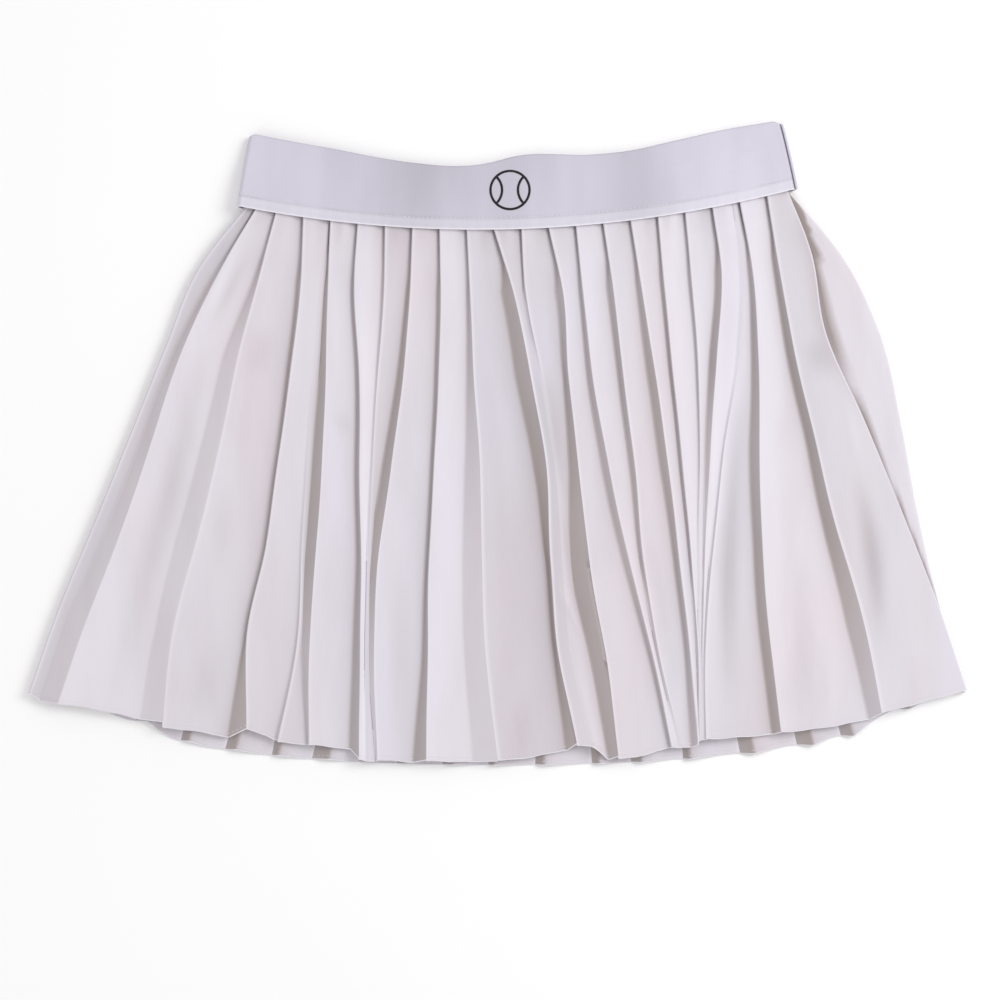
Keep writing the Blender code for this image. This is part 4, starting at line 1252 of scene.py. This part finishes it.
class SKIRT_OT_band(bpy.types.Operator):
    """Make the two halves of the elastic waistband and its stitches"""

    bl_idname = "skirt.waistband"
    bl_label = "Waistband"

    def execute(self, context):
        sizes = context.scene.skirt_sizes
        elastic = material_named("ribbed_elastic")
        grid, share = band_grid(*BAND_GRID, band_level,
                                [lambda rows: seam_level(rows, GAP / 2)] * 2, FRONT_REACH)
        x = grid[..., 0]
        inside = smooth_step(np.minimum(x - x[:, :1], x[:, -1:] - x), 0.0, 3 * MM)
        grid[..., 2] += band_relief(x, share) * inside
        front = new_piece("front_elastic", grid, grid_quads(*grid.shape[:2]), elastic,
                          front_band_fields(x, share), arc_lengths(grid))
        give_wall(front, BAND_WALL)
        finish_part(front, "elastic", "waistband_front")

        grid, share = band_grid(*BACK_BAND_GRID, lambda rows: BACK_BAND_LEVEL + 0 * rows,
                                (lambda rows: seam_level(rows, -GAP / 2), band_level), SIDE_STRIP)
        fields = {"tone": np.ones_like(share), "shade": 0 * share, "edge": 0 * share}
        back = new_piece("back_elastic", grid, grid_quads(*grid.shape[:2]), elastic, fields,
                         arc_lengths(grid))
        give_wall(back, BAND_WALL)
        finish_part(back, "elastic", "waistband_back")

        x = np.linspace(BAND_LEFT[0] + 4 * MM, BAND_RIGHT[0] - 4 * MM, 500)
        share = stitch_height(x) / band_height(x)
        level = band_level(share) + band_relief(x, share) + BAND_WALL / 2
        path = np.stack((x, lip_line(x) + stitch_height(x), level), axis=1)
        stitches = stitch_row("band_stitches", path, sizes.thread * 0.3, sizes, BAND_SPACING)
        finish_part(stitches, "elastic")
        return {"FINISHED"}


class SKIRT_OT_print(bpy.types.Operator):
    """Make the ball printed on the front of the waistband"""

    bl_idname = "skirt.band_print"
    bl_label = "Band print"

    def execute(self, context):
        sizes = context.scene.skirt_sizes
        arcs = [(MOTIF_CENTRE, sizes.print_radius - sizes.print_line / 2, 0.0, 2 * np.pi, 144)]
        for side in (-1, 1):
            middle = 0.0 if side < 0 else np.pi
            centre = (MOTIF_CENTRE[0] + side * MOTIF_SEAM_OFFSET, MOTIF_CENTRE[1])
            arcs.append((centre, MOTIF_SEAM_RADIUS, middle - MOTIF_SEAM_ANGLE,
                         middle + MOTIF_SEAM_ANGLE, 48))
        points, faces, first = [], [], 0
        for layer, (centre, radius, start, end, steps) in enumerate(arcs):
            angle = np.linspace(start, end, steps + 1)[:, None]
            reach = radius + sizes.print_line * np.linspace(-0.5, 0.5, 5)
            x = centre[0] + reach * np.cos(angle)
            y = centre[1] + reach * np.sin(angle)
            share = (y - lip_line(x)) / band_height(x)
            z = band_level(share) + band_relief(x, share) + BAND_WALL / 2
            z += PRINT_RISE + PRINT_LAYER * layer
            points.append(np.stack((x, y, z), axis=-1).reshape(-1, 3))
            faces.append(grid_quads(steps + 1, 5)[:, ::-1] + first)
            first += points[-1].shape[0]
        ball = new_piece("ball_print", np.concatenate(points), np.concatenate(faces),
                         material_named("rubber_ink"))
        give_wall(ball, PRINT_WALL)
        finish_part(ball, "print", "band_motif")
        return {"FINISHED"}


class SKIRT_OT_stage(bpy.types.Operator):
    """Make the pale table, the soft light and the camera over the skirt"""

    bl_idname = "skirt.stage"
    bl_label = "Stage"

    def execute(self, context):
        scene = context.scene
        colours = scene.skirt_colours
        corners = TABLE_HALF * np.array(((-1, 1, 0), (-1, -1, 0), (1, -1, 0), (1, 1, 0)))
        material, tree, shader, place = new_material("table", 0.9)
        cloudy = noise_node(tree, place["Object"], 3.0, 2.0)
        paler = tuple(min(1.0, value * 1.02) for value in colours.floor)
        tree.links.new(mix_node(tree, cloudy, colours.floor, paler), shader.inputs["Base Color"])
        table = new_piece("table", corners, np.array(((0, 1, 2, 3),)), material, smooth=False)

        world = bpy.data.worlds.new("studio")
        world.use_nodes = True
        sky = world.node_tree.nodes["Background"]
        sky.inputs["Color"].default_value = SKY
        sky.inputs["Strength"].default_value = SKY_STRENGTH
        scene.world = world
        for name, place, size, power in LAMPS:
            lamp = bpy.data.lights.new(name, "AREA")
            lamp.size = size
            lamp.energy = power
            item = bpy.data.objects.new(name, lamp)
            item.location = place
            item.rotation_euler = (-Vector(place)).to_track_quat("-Z", "Y").to_euler()
            scene.collection.objects.link(item)

        lens = bpy.data.cameras.new("camera")
        lens.lens = LENS
        view = bpy.data.objects.new("camera", lens)
        view.location = (*VIEW_CENTRE, VIEW_WIDTH * LENS / lens.sensor_width + FRONT_FLOOR)
        scene.collection.objects.link(view)
        scene.camera = view
        scene.view_settings.view_transform = "Standard"
        return {"FINISHED"}


class SKIRT_PT_panel(bpy.types.Panel):
    """Lists the skirt's pieces in the sidebar"""

    bl_idname = "SKIRT_PT_panel"
    bl_label = "Pleated skirt"
    bl_space_type = "VIEW_3D"
    bl_region_type = "UI"
    bl_category = "Skirt"

    def draw(self, context):
        for group in (context.scene.skirt_sizes, context.scene.skirt_colours):
            for name in group.bl_rna.properties.keys():
                if name not in ("rna_type", "name"):
                    self.layout.prop(group, name)
        for operator in OPERATORS:
            self.layout.operator(operator.bl_idname)


OPERATORS = (SKIRT_OT_back, SKIRT_OT_front, SKIRT_OT_band, SKIRT_OT_print, SKIRT_OT_stage)
CLASSES = (SkirtSizes, SkirtColours, *OPERATORS, SKIRT_PT_panel)


def register():
    """Add the classes and the skirt's properties."""
    for item in CLASSES:
        bpy.utils.register_class(item)
    bpy.types.Scene.skirt_sizes = PointerProperty(type=SkirtSizes)
    bpy.types.Scene.skirt_colours = PointerProperty(type=SkirtColours)


def unregister():
    """Take them away again."""
    del bpy.types.Scene.skirt_colours
    del bpy.types.Scene.skirt_sizes
    for item in reversed(CLASSES):
        bpy.utils.unregister_class(item)


def main():
    """Make every piece in order."""
    register()
    bpy.ops.skirt.back_panel()
    bpy.ops.skirt.front_panel()
    bpy.ops.skirt.waistband()
    bpy.ops.skirt.band_print()
    bpy.ops.skirt.stage()


if __name__ == "__main__":
    main()
